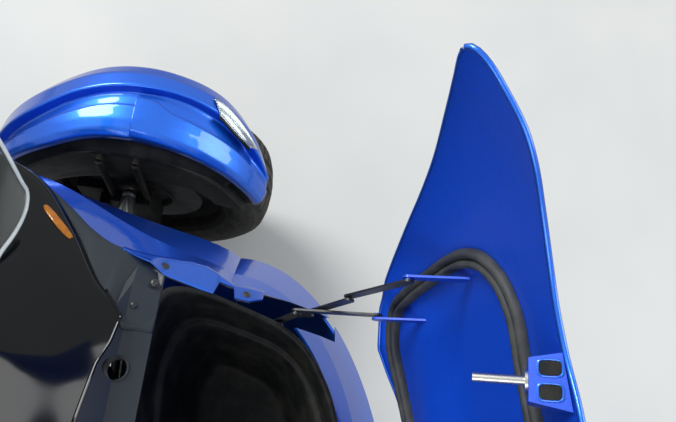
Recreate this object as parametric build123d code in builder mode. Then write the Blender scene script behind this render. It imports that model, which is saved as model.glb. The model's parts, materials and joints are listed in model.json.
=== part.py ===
from build123d import *
import os
from math import sin, cos, atan2, radians, degrees

# A three-wheeled road motorcycle with two steered wheels in front and one driven wheel behind.
# Millimetres. +Z is up, the machine faces -Y and its left side is +X. The origin is on the floor
# under the middle of the outline. The front storage lid stands open on its multi-bar hinges.

# Overall sizes
front_axle_y = -704.5
wheelbase = 1727.0
track = 1308.0

# Front wheel and tyre, 165/65 R14
front_tyre_radius = 284.0
front_tyre_width = 165.0
front_rim_radius = 178.0
front_rim_width = 140.0

# Rear wheel and tyre, 225/50 R15
rear_tyre_radius = 303.0
rear_tyre_width = 225.0
rear_rim_radius = 190.0
rear_rim_width = 190.0

# Walls and clearances
panel_wall = 4.0
tub_wall = 4.0
pin_clearance = 0.3
seat_gap = 0.3

# Front axle ends
axle_pin_radius = 12.0
kingpin_inset = 26.5
lower_ball_drop = 119.0
upper_ball_rise = 136.0
ball_radius = 15.0
steer_arm_length = 110.0
tie_rod_rise = 26.0
rack_half = 210.0

# Front mudguards: the blue shell's crown stands this far off the tyre
guard_gap = 51.0

# Storage tub and its lid. The lid closes by turning and shifting from where it stands open.
tub_floor_z = 430.0
lid_turn = 73.0
lid_closed_ref = (400.0, 600.0)
lid_open_ref = (489.0, 739.0)
latch_x = 158.0
latch_ahead = 121.0
latch_hole_radius = 16.0
latch_pin_radius = 5.0

# Lid hinge, one set on each side: four links between the tub and the lid
hinge_x = 270.0
link_thickness = 3.0
link_gap = 3.0
link_half_width = 8.0
hinge_pin_radius = 3.5
pin_head = 1.0
lid_pivot_closed = (405.0, 598.0)
carrier_length = 86.0
carrier_open_angle = 15.0
carrier_closed_angle = 9.0
rocker_offset = 12.0
carrier_tail = 42.0
follower_offset = 20.0
rocker_reach = 2.0
stay_pivot_z = 660.0

wheel_x = track / 2
wheel_z = front_tyre_radius
rear_wheel_z = rear_tyre_radius
rear_axle_y = front_axle_y + wheelbase
kingpin_x = wheel_x - front_tyre_width / 2 - kingpin_inset
lower_ball_z = wheel_z - lower_ball_drop
upper_ball_z = wheel_z + upper_ball_rise
tie_rod_z = wheel_z + tie_rod_rise
guard_radius = front_tyre_radius + guard_gap
rear_arm_x = rear_tyre_width / 2 + 35.5


def ahead(distance):
    """The Y of a point this far in front of the front axle."""
    return front_axle_y - distance


def mirrored(shape):
    """The same shape on the other side of the machine."""
    return mirror(shape, about=Plane.YZ, mode=Mode.PRIVATE)


def lofted(sections, ruled=False):
    """A solid through closed outlines, each given as its plane and its points."""
    with BuildPart() as body:
        for plane, outline in sections:
            with BuildSketch(plane):
                with BuildLine():
                    Polyline(*outline, close=True)
                make_face()
        loft(ruled=ruled)
    return body.part


def band(points, wall):
    """The closed outline of a wall laid along an open line of points, on its right-hand side."""
    normals = []
    for (x0, y0), (x1, y1) in zip(points, points[1:]):
        length = ((x1 - x0) ** 2 + (y1 - y0) ** 2) ** 0.5
        normals.append(((y1 - y0) / length, (x0 - x1) / length))
    inner = []
    for i, (x, y) in enumerate(points):
        before = normals[max(i - 1, 0)]
        after = normals[min(i, len(normals) - 1)]
        nx, ny = before[0] + after[0], before[1] + after[1]
        scale = 2 * wall / (nx * nx + ny * ny)
        inner.append((x + nx * scale, y + ny * scale))
    return list(points) + inner[::-1]


def rod(start, end, radius):
    """A straight round bar between two points."""
    run = Vector(*end) - Vector(*start)
    with BuildPart() as bar:
        with BuildSketch(Plane(origin=start, z_dir=run)):
            Circle(radius)
        extrude(amount=run.length)
    return bar.part


def fused(*shapes):
    """One part from pieces that run into each other."""
    with BuildPart() as whole:
        for shape in shapes:
            add(shape)
    return whole.part


def block(low, high):
    """A square-cornered box between two corners."""
    size = [high[i] - low[i] for i in range(3)]
    centre = Vector(*[(high[i] + low[i]) / 2 for i in range(3)])
    with BuildPart() as body:
        with Locations(centre):
            Box(*size)
    return body.part


pieces = {}


def keep(name, shape):
    """Labels a finished piece and keeps it for writing."""
    shape.label = name
    pieces[name] = shape


# Wheels

def tyre(radius, width, rim_radius, rim_width):
    """A hollow-sided tyre about the X axis, its beads on the rim."""
    shoulder = 0.80 * width / 2
    bead = rim_width / 2 - 12
    middle = (radius + rim_radius) / 2 + 6
    with BuildPart() as body:
        with BuildSketch(Plane.XY):
            with BuildLine():
                ThreePointArc((-shoulder, radius - 14), (0, radius), (shoulder, radius - 14))
                ThreePointArc(
                    (shoulder, radius - 14), (width / 2, middle), (bead, rim_radius + 18)
                )
                Polyline(
                    (bead, rim_radius + 18),
                    (bead, rim_radius + 6),
                    (-bead, rim_radius + 6),
                    (-bead, rim_radius + 18),
                )
                ThreePointArc(
                    (-bead, rim_radius + 18), (-width / 2, middle), (-shoulder, radius - 14)
                )
            make_face()
        revolve(axis=Axis.X)
    return body.part


def wheel(rim_radius, rim_width, spokes, spoke_width, hub_radius, hub_width, bore):
    """A cast wheel about the X axis: a drop-centre rim, a hub with its bore, and its spokes."""
    half = rim_width / 2
    wall = 6.0
    outer = [
        (-half, rim_radius + 14),
        (-half + 8, rim_radius + 5.7),
        (-half + 30, rim_radius + 3),
        (-half + 45, rim_radius - 16),
        (half - 45, rim_radius - 16),
        (half - 30, rim_radius + 3),
        (half - 8, rim_radius + 5.7),
        (half, rim_radius + 14),
    ]
    with BuildPart() as body:
        with BuildSketch(Plane.XY):
            with BuildLine():
                Polyline(*band(outer, wall), close=True)
            make_face()
        revolve(axis=Axis.X)
        with BuildSketch(Plane.YZ.offset(-hub_width / 2)):
            Circle(hub_radius)
        extrude(amount=hub_width)
        with BuildSketch(Plane.YZ.offset(4)):
            with PolarLocations(0, spokes):
                with Locations(((hub_radius + rim_radius - 18) / 2, 0)):
                    Trapezoid(
                        rim_radius - 18 - hub_radius + 12, spoke_width, 84, rotation=0
                    )
        extrude(amount=26)
        with BuildSketch(Plane.YZ.offset(-hub_width / 2)):
            Circle(bore)
        extrude(amount=hub_width, mode=Mode.SUBTRACT)
    return body.part


for side, sign in (("left", 1), ("right", -1)):
    place = Pos(sign * wheel_x, front_axle_y, wheel_z)
    turn = Rot(0, 0, 0 if sign > 0 else 180)
    keep(
        "front_tyre_" + side,
        place * tyre(front_tyre_radius, front_tyre_width, front_rim_radius, front_rim_width),
    )
    rim = wheel(
        front_rim_radius, front_rim_width, 6, 34, 46, 84, axle_pin_radius + pin_clearance
    )
    keep("front_rim_" + side, place * turn * rim)

rear_place = Pos(0, rear_axle_y, rear_wheel_z)
keep(
    "rear_tyre",
    rear_place * tyre(rear_tyre_radius, rear_tyre_width, rear_rim_radius, rear_rim_width),
)
keep(
    "rear_rim",
    rear_place
    * wheel(rear_rim_radius, rear_rim_width, 6, 38, 52, 150, axle_pin_radius + pin_clearance),
)


# Steering knuckles: upright, spindle, brake caliper, steering arm and the mudguard's stay

def knuckle():
    spindle = rod((kingpin_x, 0, wheel_z), (wheel_x + 52, 0, wheel_z), axle_pin_radius)
    ball_clear = ball_radius + seat_gap
    upright = lofted(
        [
            (Plane.XY.offset(z), [(x0, -d), (x1, -d), (x1, d), (x0, d)])
            for z, x0, x1, d in (
                (lower_ball_z + ball_clear, kingpin_x - 15, kingpin_x + 17, 24),
                (wheel_z - 40, kingpin_x - 9, kingpin_x + 45, 38),
                (wheel_z + 40, kingpin_x - 9, kingpin_x + 45, 40),
                (upper_ball_z - ball_clear, kingpin_x - 13, kingpin_x + 15, 40),
            )
        ],
        ruled=True,
    )
    arm_z = tie_rod_z - 17.3
    arm = fused(
        rod((kingpin_x, 20, arm_z), (kingpin_x, steer_arm_length, arm_z), 9),
        rod(
            (kingpin_x, steer_arm_length, arm_z - 8),
            (kingpin_x, steer_arm_length, tie_rod_z + 10),
            5,
        ),
    )
    caliper = block((kingpin_x + 37, 80, wheel_z - 50), (kingpin_x + 95, 138, wheel_z + 50))
    holder = block((kingpin_x + 15, 30, wheel_z - 24), (kingpin_x + 39, 90, wheel_z + 24))
    stay_top = wheel_z + guard_radius - 60
    stays = [
        fused(
            rod((kingpin_x + 1, y, upper_ball_z - 40), (kingpin_x + 7, y, stay_top), 7),
            rod((kingpin_x + 7, y, stay_top), (wheel_x - 89.2, y, stay_top), 7),
        )
        for y in (-34, 34)
    ]
    return fused(spindle, upright, arm, caliper, holder, *stays)


for side, sign in (("left", 1), ("right", -1)):
    body = Pos(0, front_axle_y, 0) * knuckle()
    keep("knuckle_" + side, body if sign > 0 else mirrored(body))

    link = fused(
        rod(
            (rack_half - 65, front_axle_y + steer_arm_length, tie_rod_z),
            (kingpin_x - 10, front_axle_y + steer_arm_length, tie_rod_z),
            7,
        ),
        Pos(kingpin_x, front_axle_y + steer_arm_length, tie_rod_z - 8)
        * Cylinder(14, 16, align=(Align.CENTER, Align.CENTER, Align.MIN)),
    ) - Pos(kingpin_x, front_axle_y + steer_arm_length, tie_rod_z) * Cylinder(
        5 + pin_clearance, 80
    )
    keep("tie_rod_" + side, link if sign > 0 else mirrored(link))


# Front mudguards. Each turns with its knuckle. Sections stand round the axle at these angles
# above the forward level; offsets are from the wheel's middle, out from the machine.
# angle, inner edge offset, outer edge offset, radius at the crown, depth of the outer skirt
guard_sections = (
    (30, -100, -16, guard_radius - 13, 22),
    (40, -94, 34, guard_radius - 5, 40),
    (52, -84, 70, guard_radius, 52),
    (75, -71, 92, guard_radius + 3, 62),
    (97, -72, 84, guard_radius + 3, 62),
    (116, -92, 54, guard_radius, 52),
    (136, -104, 22, guard_radius - 4, 40),
    (154, -108, -10, guard_radius - 10, 26),
)


def guard_plane(angle):
    """A plane through the wheel's axis, its y pointing away from the axle."""
    a = radians(angle)
    return Plane(origin=(0, 0, 0), x_dir=(1, 0, 0), z_dir=(0, -sin(a), -cos(a)))


def guard_line(inner, outer, crown, skirt):
    """The shell's top from its inner skirt over the groove to the outer skirt."""
    width = outer - inner
    return [
        (inner - 1, crown - 40),
        (inner, crown - 14),
        (inner + 0.06 * width, crown - 5),
        (inner + 0.20 * width, crown),
        (inner + 0.39 * width, crown + 1),
        (inner + 0.42 * width, crown - 11),
        (inner + 0.54 * width, crown - 11),
        (inner + 0.57 * width, crown + 1),
        (inner + 0.82 * width, crown - 5),
        (outer - 3, crown - 22),
        (outer, crown - skirt),
    ]


def guard_shell():
    return lofted(
        [
            (guard_plane(angle), band(guard_line(*line), panel_wall))
            for angle, *line in guard_sections
        ]
    )


def guard_liner():
    """The black inner guard under the shell, following the tyre."""
    return lofted(
        [
            (
                guard_plane(angle),
                band(
                    [
                        (-92, crown - 126),
                        (min(inner, -74) - 14, crown - 50),
                        (inner + panel_wall - 0.7, crown - 46),
                        (inner + panel_wall, crown - 24),
                        (outer - 14, crown - 26),
                    ],
                    3,
                ),
            )
            for angle, inner, outer, crown, _ in guard_sections
        ]
    )


def guard_lamp():
    """The clear lens on the front of the outer band."""
    sections = []
    for angle, left, right, lift in (
        (43, -6, 8, 0.5), (48, -2, 24, 1.2), (54, 6, 42, 1.8), (60, 18, 52, 2.2)
    ):
        low, high = guard_radius + lift, guard_radius + lift + 4
        sections.append(
            (guard_plane(angle), [(left, low), (left, high), (right, high - 3), (right, low)])
        )
    return lofted(sections)


for side, sign in (("left", 1), ("right", -1)):
    for name, form in (
        ("front_guard_", guard_shell()),
        ("guard_liner_", guard_liner()),
        ("guard_lamp_", guard_lamp()),
    ):
        body = Pos(wheel_x, front_axle_y, wheel_z) * form
        keep(name + side, body if sign > 0 else mirrored(body))


# Body shape. A station's plane crosses the machine; its x runs out to the left, its y up.

def station(distance):
    return Plane(origin=(0, ahead(distance), 0), x_dir=(1, 0, 0), z_dir=(0, -1, 0))


def turned_station(x, distance, angle):
    """An upright plane whose x runs outward, swung this far from the left toward the front."""
    a = radians(angle)
    return Plane(
        origin=(x, ahead(distance), 0), x_dir=(cos(a), -sin(a), 0), z_dir=(-sin(a), -cos(a), 0)
    )


def both(shape):
    """One part holding a solid of the left side and its copy on the right."""
    return Compound(children=[shape, mirrored(shape)])


def full_width(line):
    """A closed outline from the points of its left half, top centre first, bottom centre last."""
    return list(line) + [(-x, y) for x, y in line[::-1] if x > 0]


def inner_zone(line, centre=0, low=150):
    """The outline of the space inside a panel's line, up to where a bracket seats."""
    edge = band(line, panel_wall + 2 * seat_gap)[len(line):]
    return edge + [(centre, edge[-1][1]), (centre, low), (edge[0][0], low)]


def plan_prism(outline, low, high):
    """An upright prism over a plan outline of half widths and distances ahead."""
    with BuildPart() as prism:
        with BuildSketch(Plane.XY.offset(low)):
            with BuildLine():
                Polyline(*[(x, ahead(f)) for x, f in outline], close=True)
            make_face()
        extrude(amount=high - low)
    return prism.part


# Side panels: distance ahead, then the outline's points from the lid's flange outward and down
side_sections = (
    (-300, (262, 772), (300, 720), (322, 655), (270, 540), (225, 470)),
    (-160, (421, 771.4), (440, 715), (436, 660), (372, 550), (290, 470)),
    (-60, (425, 750.0), (446, 712), (450, 662), (396, 560), (322, 478)),
    (30, (364, 752.5), (414, 698), (439, 638), (384, 540), (310, 450)),
    (130, (330, 732), (376, 676), (425, 600), (365, 510), (290, 430)),
    (256, (304, 700), (345, 645), (398, 560), (345, 490), (280, 420)),
)
side_panel = lofted([(station(f), band(line, panel_wall)) for f, *line in side_sections])
hinge_slot = block((262, ahead(440), 545), (310, ahead(249), 760))
side_panel = side_panel - hinge_slot
side_zone = lofted([(station(f), inner_zone(line)) for f, *line in side_sections])
keep("side_panel_left", side_panel)
keep("side_panel_right", mirrored(side_panel))

# The nose: origin, swing toward the front, then the outline's points outward and down
nose_sections = (
    (304, 256.3, 0, (0, 700), (41, 645), (94, 560), (41, 490), (-24, 420)),
    (268, 362, 25, (0, 672), (32, 632), (82, 555), (40, 490), (-20, 415)),
    (195, 420, 50, (0, 660), (28, 625), (74, 550), (35, 485), (-20, 410)),
    (104, 460, 70, (0, 646), (26, 620), (72, 553), (30, 485), (-20, 410)),
    (0, 480, 90, (0, 640), (28, 622), (84, 560), (30, 485), (-20, 410)),
)
nose_half = lofted(
    [
        (turned_station(x, f, swing), band(line, panel_wall))
        for x, f, swing, *line in nose_sections
    ]
)
nose_zone = lofted(
    [
        (turned_station(x, f, swing), inner_zone(line, -200, 350))
        for x, f, swing, *line in nose_sections
    ]
)
nose_half = nose_half - hinge_slot
keep("nose_panel", fused(nose_half, mirrored(nose_half)))

# Storage tub: the rim's half widths and distances ahead, on a slope that falls to the front
rim_corners = (
    (0, 160), (262, 160), (277, 170), (286, 196), (285, 226), (277, 264), (268, 300), (256, 340),
    (233, 379), (183, 419), (108, 450), (0, 464)
)
rim_rear, rim_rear_z = 160, 742
rim_fall = 0.288
ledge_z = 600.0


def tub_ring(inset):
    """The tub's plan outline drawn in toward its middle by this much."""
    middle = (rim_corners[0][1] + rim_corners[-1][1]) / 2
    across_share = 1 - inset / max(x for x, f in rim_corners)
    along_share = 1 - inset / (rim_corners[-1][1] - middle)
    half = [(x * across_share, middle + (f - middle) * along_share) for x, f in rim_corners]
    return half + [(-x, f) for x, f in half[-2:0:-1]]


def tub_block(top_inset, ledge_inset, lower_inset, floor_inset, floor_z, ledge_height, lift):
    stretch = (1 + rim_fall**2) ** 0.5
    rim_plane = Plane(
        origin=(0, ahead(rim_rear), rim_rear_z), x_dir=(1, 0, 0), z_dir=(0, -rim_fall, 1)
    ).offset(lift)
    upper = lofted(
        [
            (rim_plane, [(x, (rim_rear - f) * stretch) for x, f in tub_ring(top_inset)]),
            (Plane.XY.offset(ledge_height), [(x, ahead(f)) for x, f in tub_ring(ledge_inset)]),
        ],
        ruled=True,
    )
    lower = lofted(
        [
            (Plane.XY.offset(ledge_height), [(x, ahead(f)) for x, f in tub_ring(lower_inset)]),
            (Plane.XY.offset(floor_z), [(x, ahead(f)) for x, f in tub_ring(floor_inset)]),
        ],
        ruled=True,
    )
    return fused(upper, lower)


tub_outside = tub_block(0, 8, 22, 60, tub_floor_z, ledge_z, 0)
tub_inside = tub_block(
    tub_wall,
    8 + tub_wall,
    22 + tub_wall,
    60 + tub_wall,
    tub_floor_z + tub_wall,
    ledge_z + tub_wall,
    0.5,
)
keep("storage_tub", tub_outside - tub_inside)

# Rear deck behind the tub, with a cup on each side for the lid's latch pin
deck = lofted(
    [
        (
            station(f),
            band([(-x, z - 12), (-x + 30, z), (x - 30, z), (x, z - 12)], panel_wall),
        )
        for f, x, z in ((rim_rear - seat_gap, 306, 743.6), (120, 314, 758), (86, 215, 788))
    ],
    ruled=True,
)
for sign in (1, -1):
    hole = Pos(sign * latch_x, ahead(latch_ahead), 745)
    deck = (
        deck
        + hole * Cylinder(latch_hole_radius + 3, 26)
        - hole * Cylinder(latch_hole_radius, 60)
    )
keep("rear_deck", deck)

# Cowl: a domed black cover behind the deck, cut back along the lid's swept rear edge
cowl_sections = (
    (118, (0, 799), (120, 796), (215, 788), (240, 780), (246, 768)),
    (84, (0, 829), (130, 820), (220, 802), (262, 786), (268, 768)),
    (20, (0, 890), (150, 870), (276, 816), (346, 778), (354, 764)),
    (-60, (0, 950), (180, 922), (312, 828), (432, 765), (434, 754)),
    (-160, (0, 985), (190, 960), (376, 850), (468, 788), (414, 771.2)),
    (-260, (0, 985), (180, 962), (350, 868), (430, 828), (390, 822)),
)


def across(line):
    """An open line from the left edge over the top to the right edge, from its left half."""
    return list(line[::-1]) + [(-x, z) for x, z in line[1:]]


def in_between(sections, steps=3):
    """The sections with more put between them, on smooth curves through their numbers."""
    rows = [[place] + [v for point in line for v in point] for place, *line in sections]
    rows = [rows[0]] + rows + [rows[-1]]
    full = []
    for four in zip(rows, rows[1:], rows[2:], rows[3:]):
        for step in range(steps):
            t = step / steps
            full.append(
                [
                    b + (c - a) * t / 2
                    + (2 * a - 5 * b + 4 * c - d) * t**2 / 2
                    + (3 * b - a - 3 * c + d) * t**3 / 2
                    for a, b, c, d in zip(*four)
                ]
            )
    full.append(rows[-1])
    return [(row[0], *zip(row[1::2], row[2::2])) for row in full]


cowl_sections = in_between(cowl_sections)
cowl = lofted(
    [(station(f), band(across(line)[::-1], panel_wall)) for f, *line in cowl_sections],
    ruled=True,
)


def under_sheet(sections, grow, bottom):
    """Everything under a sheet, grown upward by this much."""
    space = []
    for f, *line in sections:
        top = [(x, z + grow) for x, z in across(line)]
        space.append((station(f), [(top[0][0], bottom)] + top + [(top[-1][0], bottom)]))
    return lofted(space, ruled=True)


cowl_fill = under_sheet(cowl_sections, seat_gap, 600)
lid_rear_line = (
    (0, 96), (119, 98), (190, 111), (237, 93), (283, 68), (321, 29), (350, -1), (373, -21),
    (411, -32), (446, -54)
)
cowl_front = (
    (0, 92), (81, 95), (158, 103), (190, 113), (226, 118), (268, 84), (372, 2), (380, -32),
    (411, -42), (450, -66), (490, -100)
)
for sign in (1, -1):
    cowl = cowl - plan_prism(
        [(0, 200), (sign * 500, 200), (sign * 500, -100)]
        + [(sign * x, f) for x, f in cowl_front[::-1]],
        700,
        1000,
    )
keep("cowl", cowl)

# Windshield: height, then half widths and distances ahead of its outer face
shield_sections = (
    (780, (0, 60), (130, 48), (262, 10), (345, -16)),
    (850, (0, 14), (135, 2), (268, -30), (373, -28)),
    (960, (0, -52), (150, -62), (300, -92), (440, -84)),
    (1110, (0, -170), (150, -180), (290, -206), (410, -232)),
)
shield = lofted(
    [
        (Plane.XY.offset(z), band([(x, ahead(f)) for x, f in across(line)], 4))
        for z, *line in in_between(shield_sections)
    ],
    ruled=True,
)
keep("windshield", shield - cowl_fill)


# Lid, made closed and then opened. Distance ahead, half width, edge height, centre height
lid_sections = (
    (-60, 452, 735, 884),
    (60, 450, 703, 870),
    (150, 432, 682, 842),
    (250, 405, 655, 802),
    (360, 385, 625, 750),
    (440, 335, 600, 694),
    (520, 215, 590, 666),
)
lid_side_line = (
    (451, -54), (450, -20), (447, 35), (438, 98), (424, 163), (405, 233), (392, 296), (374, 365),
    (345, 419), (318, 452), (269, 482), (220, 491), (130, 501), (0, 510)
)
shoulder_steps = (0, 0.24, 0.46, 0.66, 0.82, 0.93, 1.0)


def domed(half, edge, crown, depth):
    """The line of a dome with full shoulders, this far in from its outer face."""
    return across(
        [
            ((half - depth) * t, edge - depth + (crown - edge) * (1 - t**2.4) ** 0.72)
            for t in shoulder_steps
        ]
    )


def opened(shape):
    """Moves a shape from the lid's closed place to where it stands open."""
    return (
        Pos(0, ahead(lid_open_ref[0]), lid_open_ref[1])
        * Rot(lid_turn, 0, 0)
        * Pos(0, -ahead(lid_closed_ref[0]), -lid_closed_ref[1])
        * shape
    )


def lid_sheet(depth, wall):
    return lofted(
        [
            (station(f), domed(*size, depth) + domed(*size, depth + wall)[::-1])
            for f, *size in lid_sections
        ]
    )


lid_half = list(lid_rear_line) + list(lid_side_line)
lid_plan = lid_half + [(-x, f) for x, f in lid_half[::-1] if x > 0]
lid_skin = lid_sheet(0, panel_wall) & plan_prism(lid_plan, 500, 1000)
keep("lid_panel", opened(lid_skin))

seal_sheet = lid_sheet(panel_wall + seat_gap, 8)
seal = (seal_sheet & plan_prism(tub_ring(-5), 500, 1000)) - plan_prism(tub_ring(7), 490, 1010)
keep("lid_seal", opened(seal))


# Lid hinge. Each set works in upright planes beside the tub. The lid, carried on the link
# called carrier, goes exactly from its closed place to its open place; the follower and the
# stay keep their length at both ends of the travel.

def turned(point, about, angle):
    """A point of a hinge plane turned about another, positive from forward to up."""
    a = radians(angle)
    f, z = point[0] - about[0], point[1] - about[1]
    return (about[0] + f * cos(a) - z * sin(a), about[1] + f * sin(a) + z * cos(a))


def to_open(point):
    f, z = turned(point, lid_closed_ref, -lid_turn)
    return (
        f - lid_closed_ref[0] + lid_open_ref[0],
        z - lid_closed_ref[1] + lid_open_ref[1],
    )


def to_closed(point):
    moved = (
        point[0] - lid_open_ref[0] + lid_closed_ref[0],
        point[1] - lid_open_ref[1] + lid_closed_ref[1],
    )
    return turned(moved, lid_closed_ref, lid_turn)


def reach(point, angle, length):
    return (
        point[0] + length * cos(radians(angle)),
        point[1] + length * sin(radians(angle)),
    )


def bisector_point(first, second, shift):
    """A point equally far from two places, moved this far along the line between them."""
    f, z = second[0] - first[0], second[1] - first[1]
    length = (f * f + z * z) ** 0.5
    return (
        (first[0] + second[0]) / 2 + shift * z / length,
        (first[1] + second[1]) / 2 - shift * f / length,
    )


lid_pivot = to_open(lid_pivot_closed)
elbow = reach(lid_pivot, carrier_open_angle + 180, carrier_length)
elbow_closed = reach(lid_pivot_closed, carrier_closed_angle + 180, carrier_length)
rocker_pivot = bisector_point(elbow_closed, elbow, rocker_offset)
tail = reach(elbow, carrier_open_angle + 180, carrier_tail)
tail_closed = reach(elbow_closed, carrier_closed_angle + 180, carrier_tail)
follower_pivot = bisector_point(tail_closed, tail, follower_offset)


def beyond(start, through, ratio):
    return tuple(a + (b - a) * ratio for a, b in zip(start, through))


rocker_end = beyond(rocker_pivot, elbow, rocker_reach)
rocker_end_closed = beyond(rocker_pivot, elbow_closed, rocker_reach)
stay_a, stay_b = to_closed(rocker_end), rocker_end_closed
slope = (stay_b[0] - stay_a[0]) / (stay_a[1] - stay_b[1])
stay_pivot_closed = (
    (stay_a[0] + stay_b[0]) / 2 + (stay_pivot_z - (stay_a[1] + stay_b[1]) / 2) / slope
    if abs(slope) > 1e-6
    else (stay_a[0] + stay_b[0]) / 2,
    stay_pivot_z,
)
stay_pivot = to_open(stay_pivot_closed)

# The links lie in planes stacked outward from the tub
layer = link_thickness + link_gap
layer_x = [hinge_x + i * layer for i in range(7)]


def layer_sketch(start, outline, holes, radius=None):
    with BuildPart() as plate:
        with BuildSketch(Plane.YZ.offset(start)):
            for a, b in zip(outline, outline[1:]):
                mid = ((ahead(a[0]) + ahead(b[0])) / 2, (a[1] + b[1]) / 2)
                run = ((ahead(b[0]) - ahead(a[0])) ** 2 + (b[1] - a[1]) ** 2) ** 0.5
                turn = degrees(atan2(b[1] - a[1], ahead(b[0]) - ahead(a[0])))
                with Locations(mid):
                    SlotCenterToCenter(run, 2 * (radius or link_half_width), rotation=turn)
            for f, z in holes:
                with Locations((ahead(f), z)):
                    Circle(hinge_pin_radius + pin_clearance, mode=Mode.SUBTRACT)
        extrude(amount=link_thickness)
    return plate.part


def hinge_pin(point, start, end):
    """A pivot pin with a flat head past its far end."""
    low, high = min(start, end), max(start, end)
    shank = rod((low, ahead(point[0]), point[1]), (high, ahead(point[0]), point[1]), hinge_pin_radius)
    cap_start = end if end > start else end - pin_head
    cap = rod(
        (cap_start, ahead(point[0]), point[1]),
        (cap_start + pin_head, ahead(point[0]), point[1]),
        hinge_pin_radius + 2.5,
    )
    return fused(shank, cap)


def boss(point, start, end):
    """A round boss that meets the next link without entering it."""
    return rod((start, ahead(point[0]), point[1]), (end, ahead(point[0]), point[1]), 5.5)


# Two of the six pivots of a set close the loops. There the links meet face to face at a boss,
# so that they can drift apart a little on the way.
pin_end = pin_clearance
follower_link = fused(
    layer_sketch(layer_x[1], [follower_pivot, tail], [follower_pivot]),
    boss(tail, layer_x[1] + 1, layer_x[1] - pin_head),
)
carrier_link = fused(
    layer_sketch(layer_x[2], [tail, elbow, lid_pivot], [lid_pivot]),
    boss(tail, layer_x[2] + 1, layer_x[1] + link_thickness + seat_gap),
    hinge_pin(elbow, layer_x[2], layer_x[3] + link_thickness + pin_end),
)
rocker_link = fused(
    layer_sketch(layer_x[3], [rocker_pivot, elbow, rocker_end], [rocker_pivot, elbow]),
    hinge_pin(rocker_end, layer_x[3], layer_x[4] + link_thickness + pin_end),
)
stay_link = layer_sketch(layer_x[4], [rocker_end, stay_pivot], [rocker_end])
keep("hinge_follower_links", both(follower_link))
keep("hinge_carrier_links", both(carrier_link))
keep("hinge_rocker_links", both(rocker_link))
keep("hinge_stay_links", both(stay_link))


tub_fill = tub_block(-seat_gap, 8 - seat_gap, 22 - seat_gap, 44 - seat_gap, tub_floor_z, ledge_z, 0)
bracket_f, bracket_z = follower_pivot[0] - 30, follower_pivot[1] - 4
inner_bracket = fused(
    layer_sketch(layer_x[0], [follower_pivot, (bracket_f, bracket_z)], [], 10),
    block(
        (235, ahead(bracket_f + 10), bracket_z - 10),
        (layer_x[0] + 1, ahead(bracket_f - 10), bracket_z + 10),
    )
    - tub_fill,
    hinge_pin(follower_pivot, layer_x[0], layer_x[1] + link_thickness + pin_end),
)
foot_f, foot_z = rocker_pivot[0] + 14, rocker_pivot[1] - 22
outer_bracket = fused(
    layer_sketch(layer_x[4], [rocker_pivot, (foot_f, foot_z)], [], 10),
    block((layer_x[4] + 1, ahead(foot_f + 9), foot_z - 9), (370, ahead(foot_f - 9), foot_z + 7))
    & nose_zone,
    hinge_pin(rocker_pivot, layer_x[4], layer_x[3] - pin_end),
)
keep("tub_hinge_brackets", Compound(children=[both(inner_bracket), both(outer_bracket)]))


def lid_above(depth):
    """The space from this far under the closed lid's outer face upward."""
    sections = []
    for f, *size in lid_sections:
        line = domed(*size, depth)
        sections.append((station(f), [(line[0][0], 1100)] + line + [(line[-1][0], 1100)]))
    return lofted(sections)


under_lid = lid_above(panel_wall + seat_gap)
tab_top = 100
tab_outline = [stay_pivot_closed, (stay_pivot_closed[0], stay_pivot_closed[1] + tab_top)]
stay_tab = layer_sketch(layer_x[5], tab_outline, []) - under_lid
stay_tab = fused(
    stay_tab,
    boss(stay_pivot_closed, layer_x[5] + 1, layer_x[4] + link_thickness + seat_gap),
)
tab_outline = [lid_pivot_closed, (lid_pivot_closed[0] - 6, lid_pivot_closed[1] + tab_top)]
carrier_tab = layer_sketch(layer_x[1], tab_outline, []) - under_lid
carrier_tab = fused(
    carrier_tab,
    hinge_pin(lid_pivot_closed, layer_x[1], layer_x[2] + link_thickness + pin_end),
)
keep("lid_hinge_tabs", Compound(children=[both(opened(stay_tab)), both(opened(carrier_tab))]))

# Latch pins on moulded brackets under the lid
latch_bracket_low = 804.0
latch_bracket = lofted(
    [
        (Plane.XY.offset(latch_bracket_low), [(-22, -18), (22, -18), (22, 12), (-22, 12)]),
        (Plane.XY.offset(900), [(-40, -19), (40, -19), (40, 22), (-40, 22)]),
    ],
    ruled=True,
)
latch_bracket = Pos(latch_x, ahead(latch_ahead), 0) * latch_bracket - under_lid
flange_top = latch_bracket_low - seat_gap
latch_pin = fused(
    rod(
        (latch_x, ahead(latch_ahead), 748),
        (latch_x, ahead(latch_ahead), flange_top),
        latch_pin_radius,
    ),
    rod(
        (latch_x, ahead(latch_ahead), flange_top - 3),
        (latch_x, ahead(latch_ahead), flange_top),
        12,
    ),
)
keep("latch_brackets", both(opened(latch_bracket)))
keep("latch_pins", both(opened(latch_pin)))


# Side fairings over the engine: distance ahead, then the outline's points from the top down
fairing_sections = (
    (-180, (250, 440), (292, 410), (286, 330), (230, 230)),
    (-300, (240, 450), (272, 415), (266, 325), (214, 226)),
    (-420, (226, 560), (250, 430), (246, 320), (204, 226)),
    (-600, (206, 590), (226, 450), (222, 320), (198, 230)),
    (-735, (192, 600), (208, 470), (206, 340), (194, 256)),
)
fairing_zone = lofted([(station(f), inner_zone(line)) for f, *line in fairing_sections])

# Chassis
tube_radius = 14.0
rail_x = 160.0
frame_z = 200.0


def run(*points, radius=tube_radius):
    """Straight tubes through these points, given as x, distance ahead and height."""
    world = [(x, ahead(f), z) for x, f, z in points]
    bars = [rod(a, b, radius) for a, b in zip(world, world[1:])]
    joints = [Pos(*p) * Sphere(radius) for p in world]
    return fused(*bars, *joints)


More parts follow.
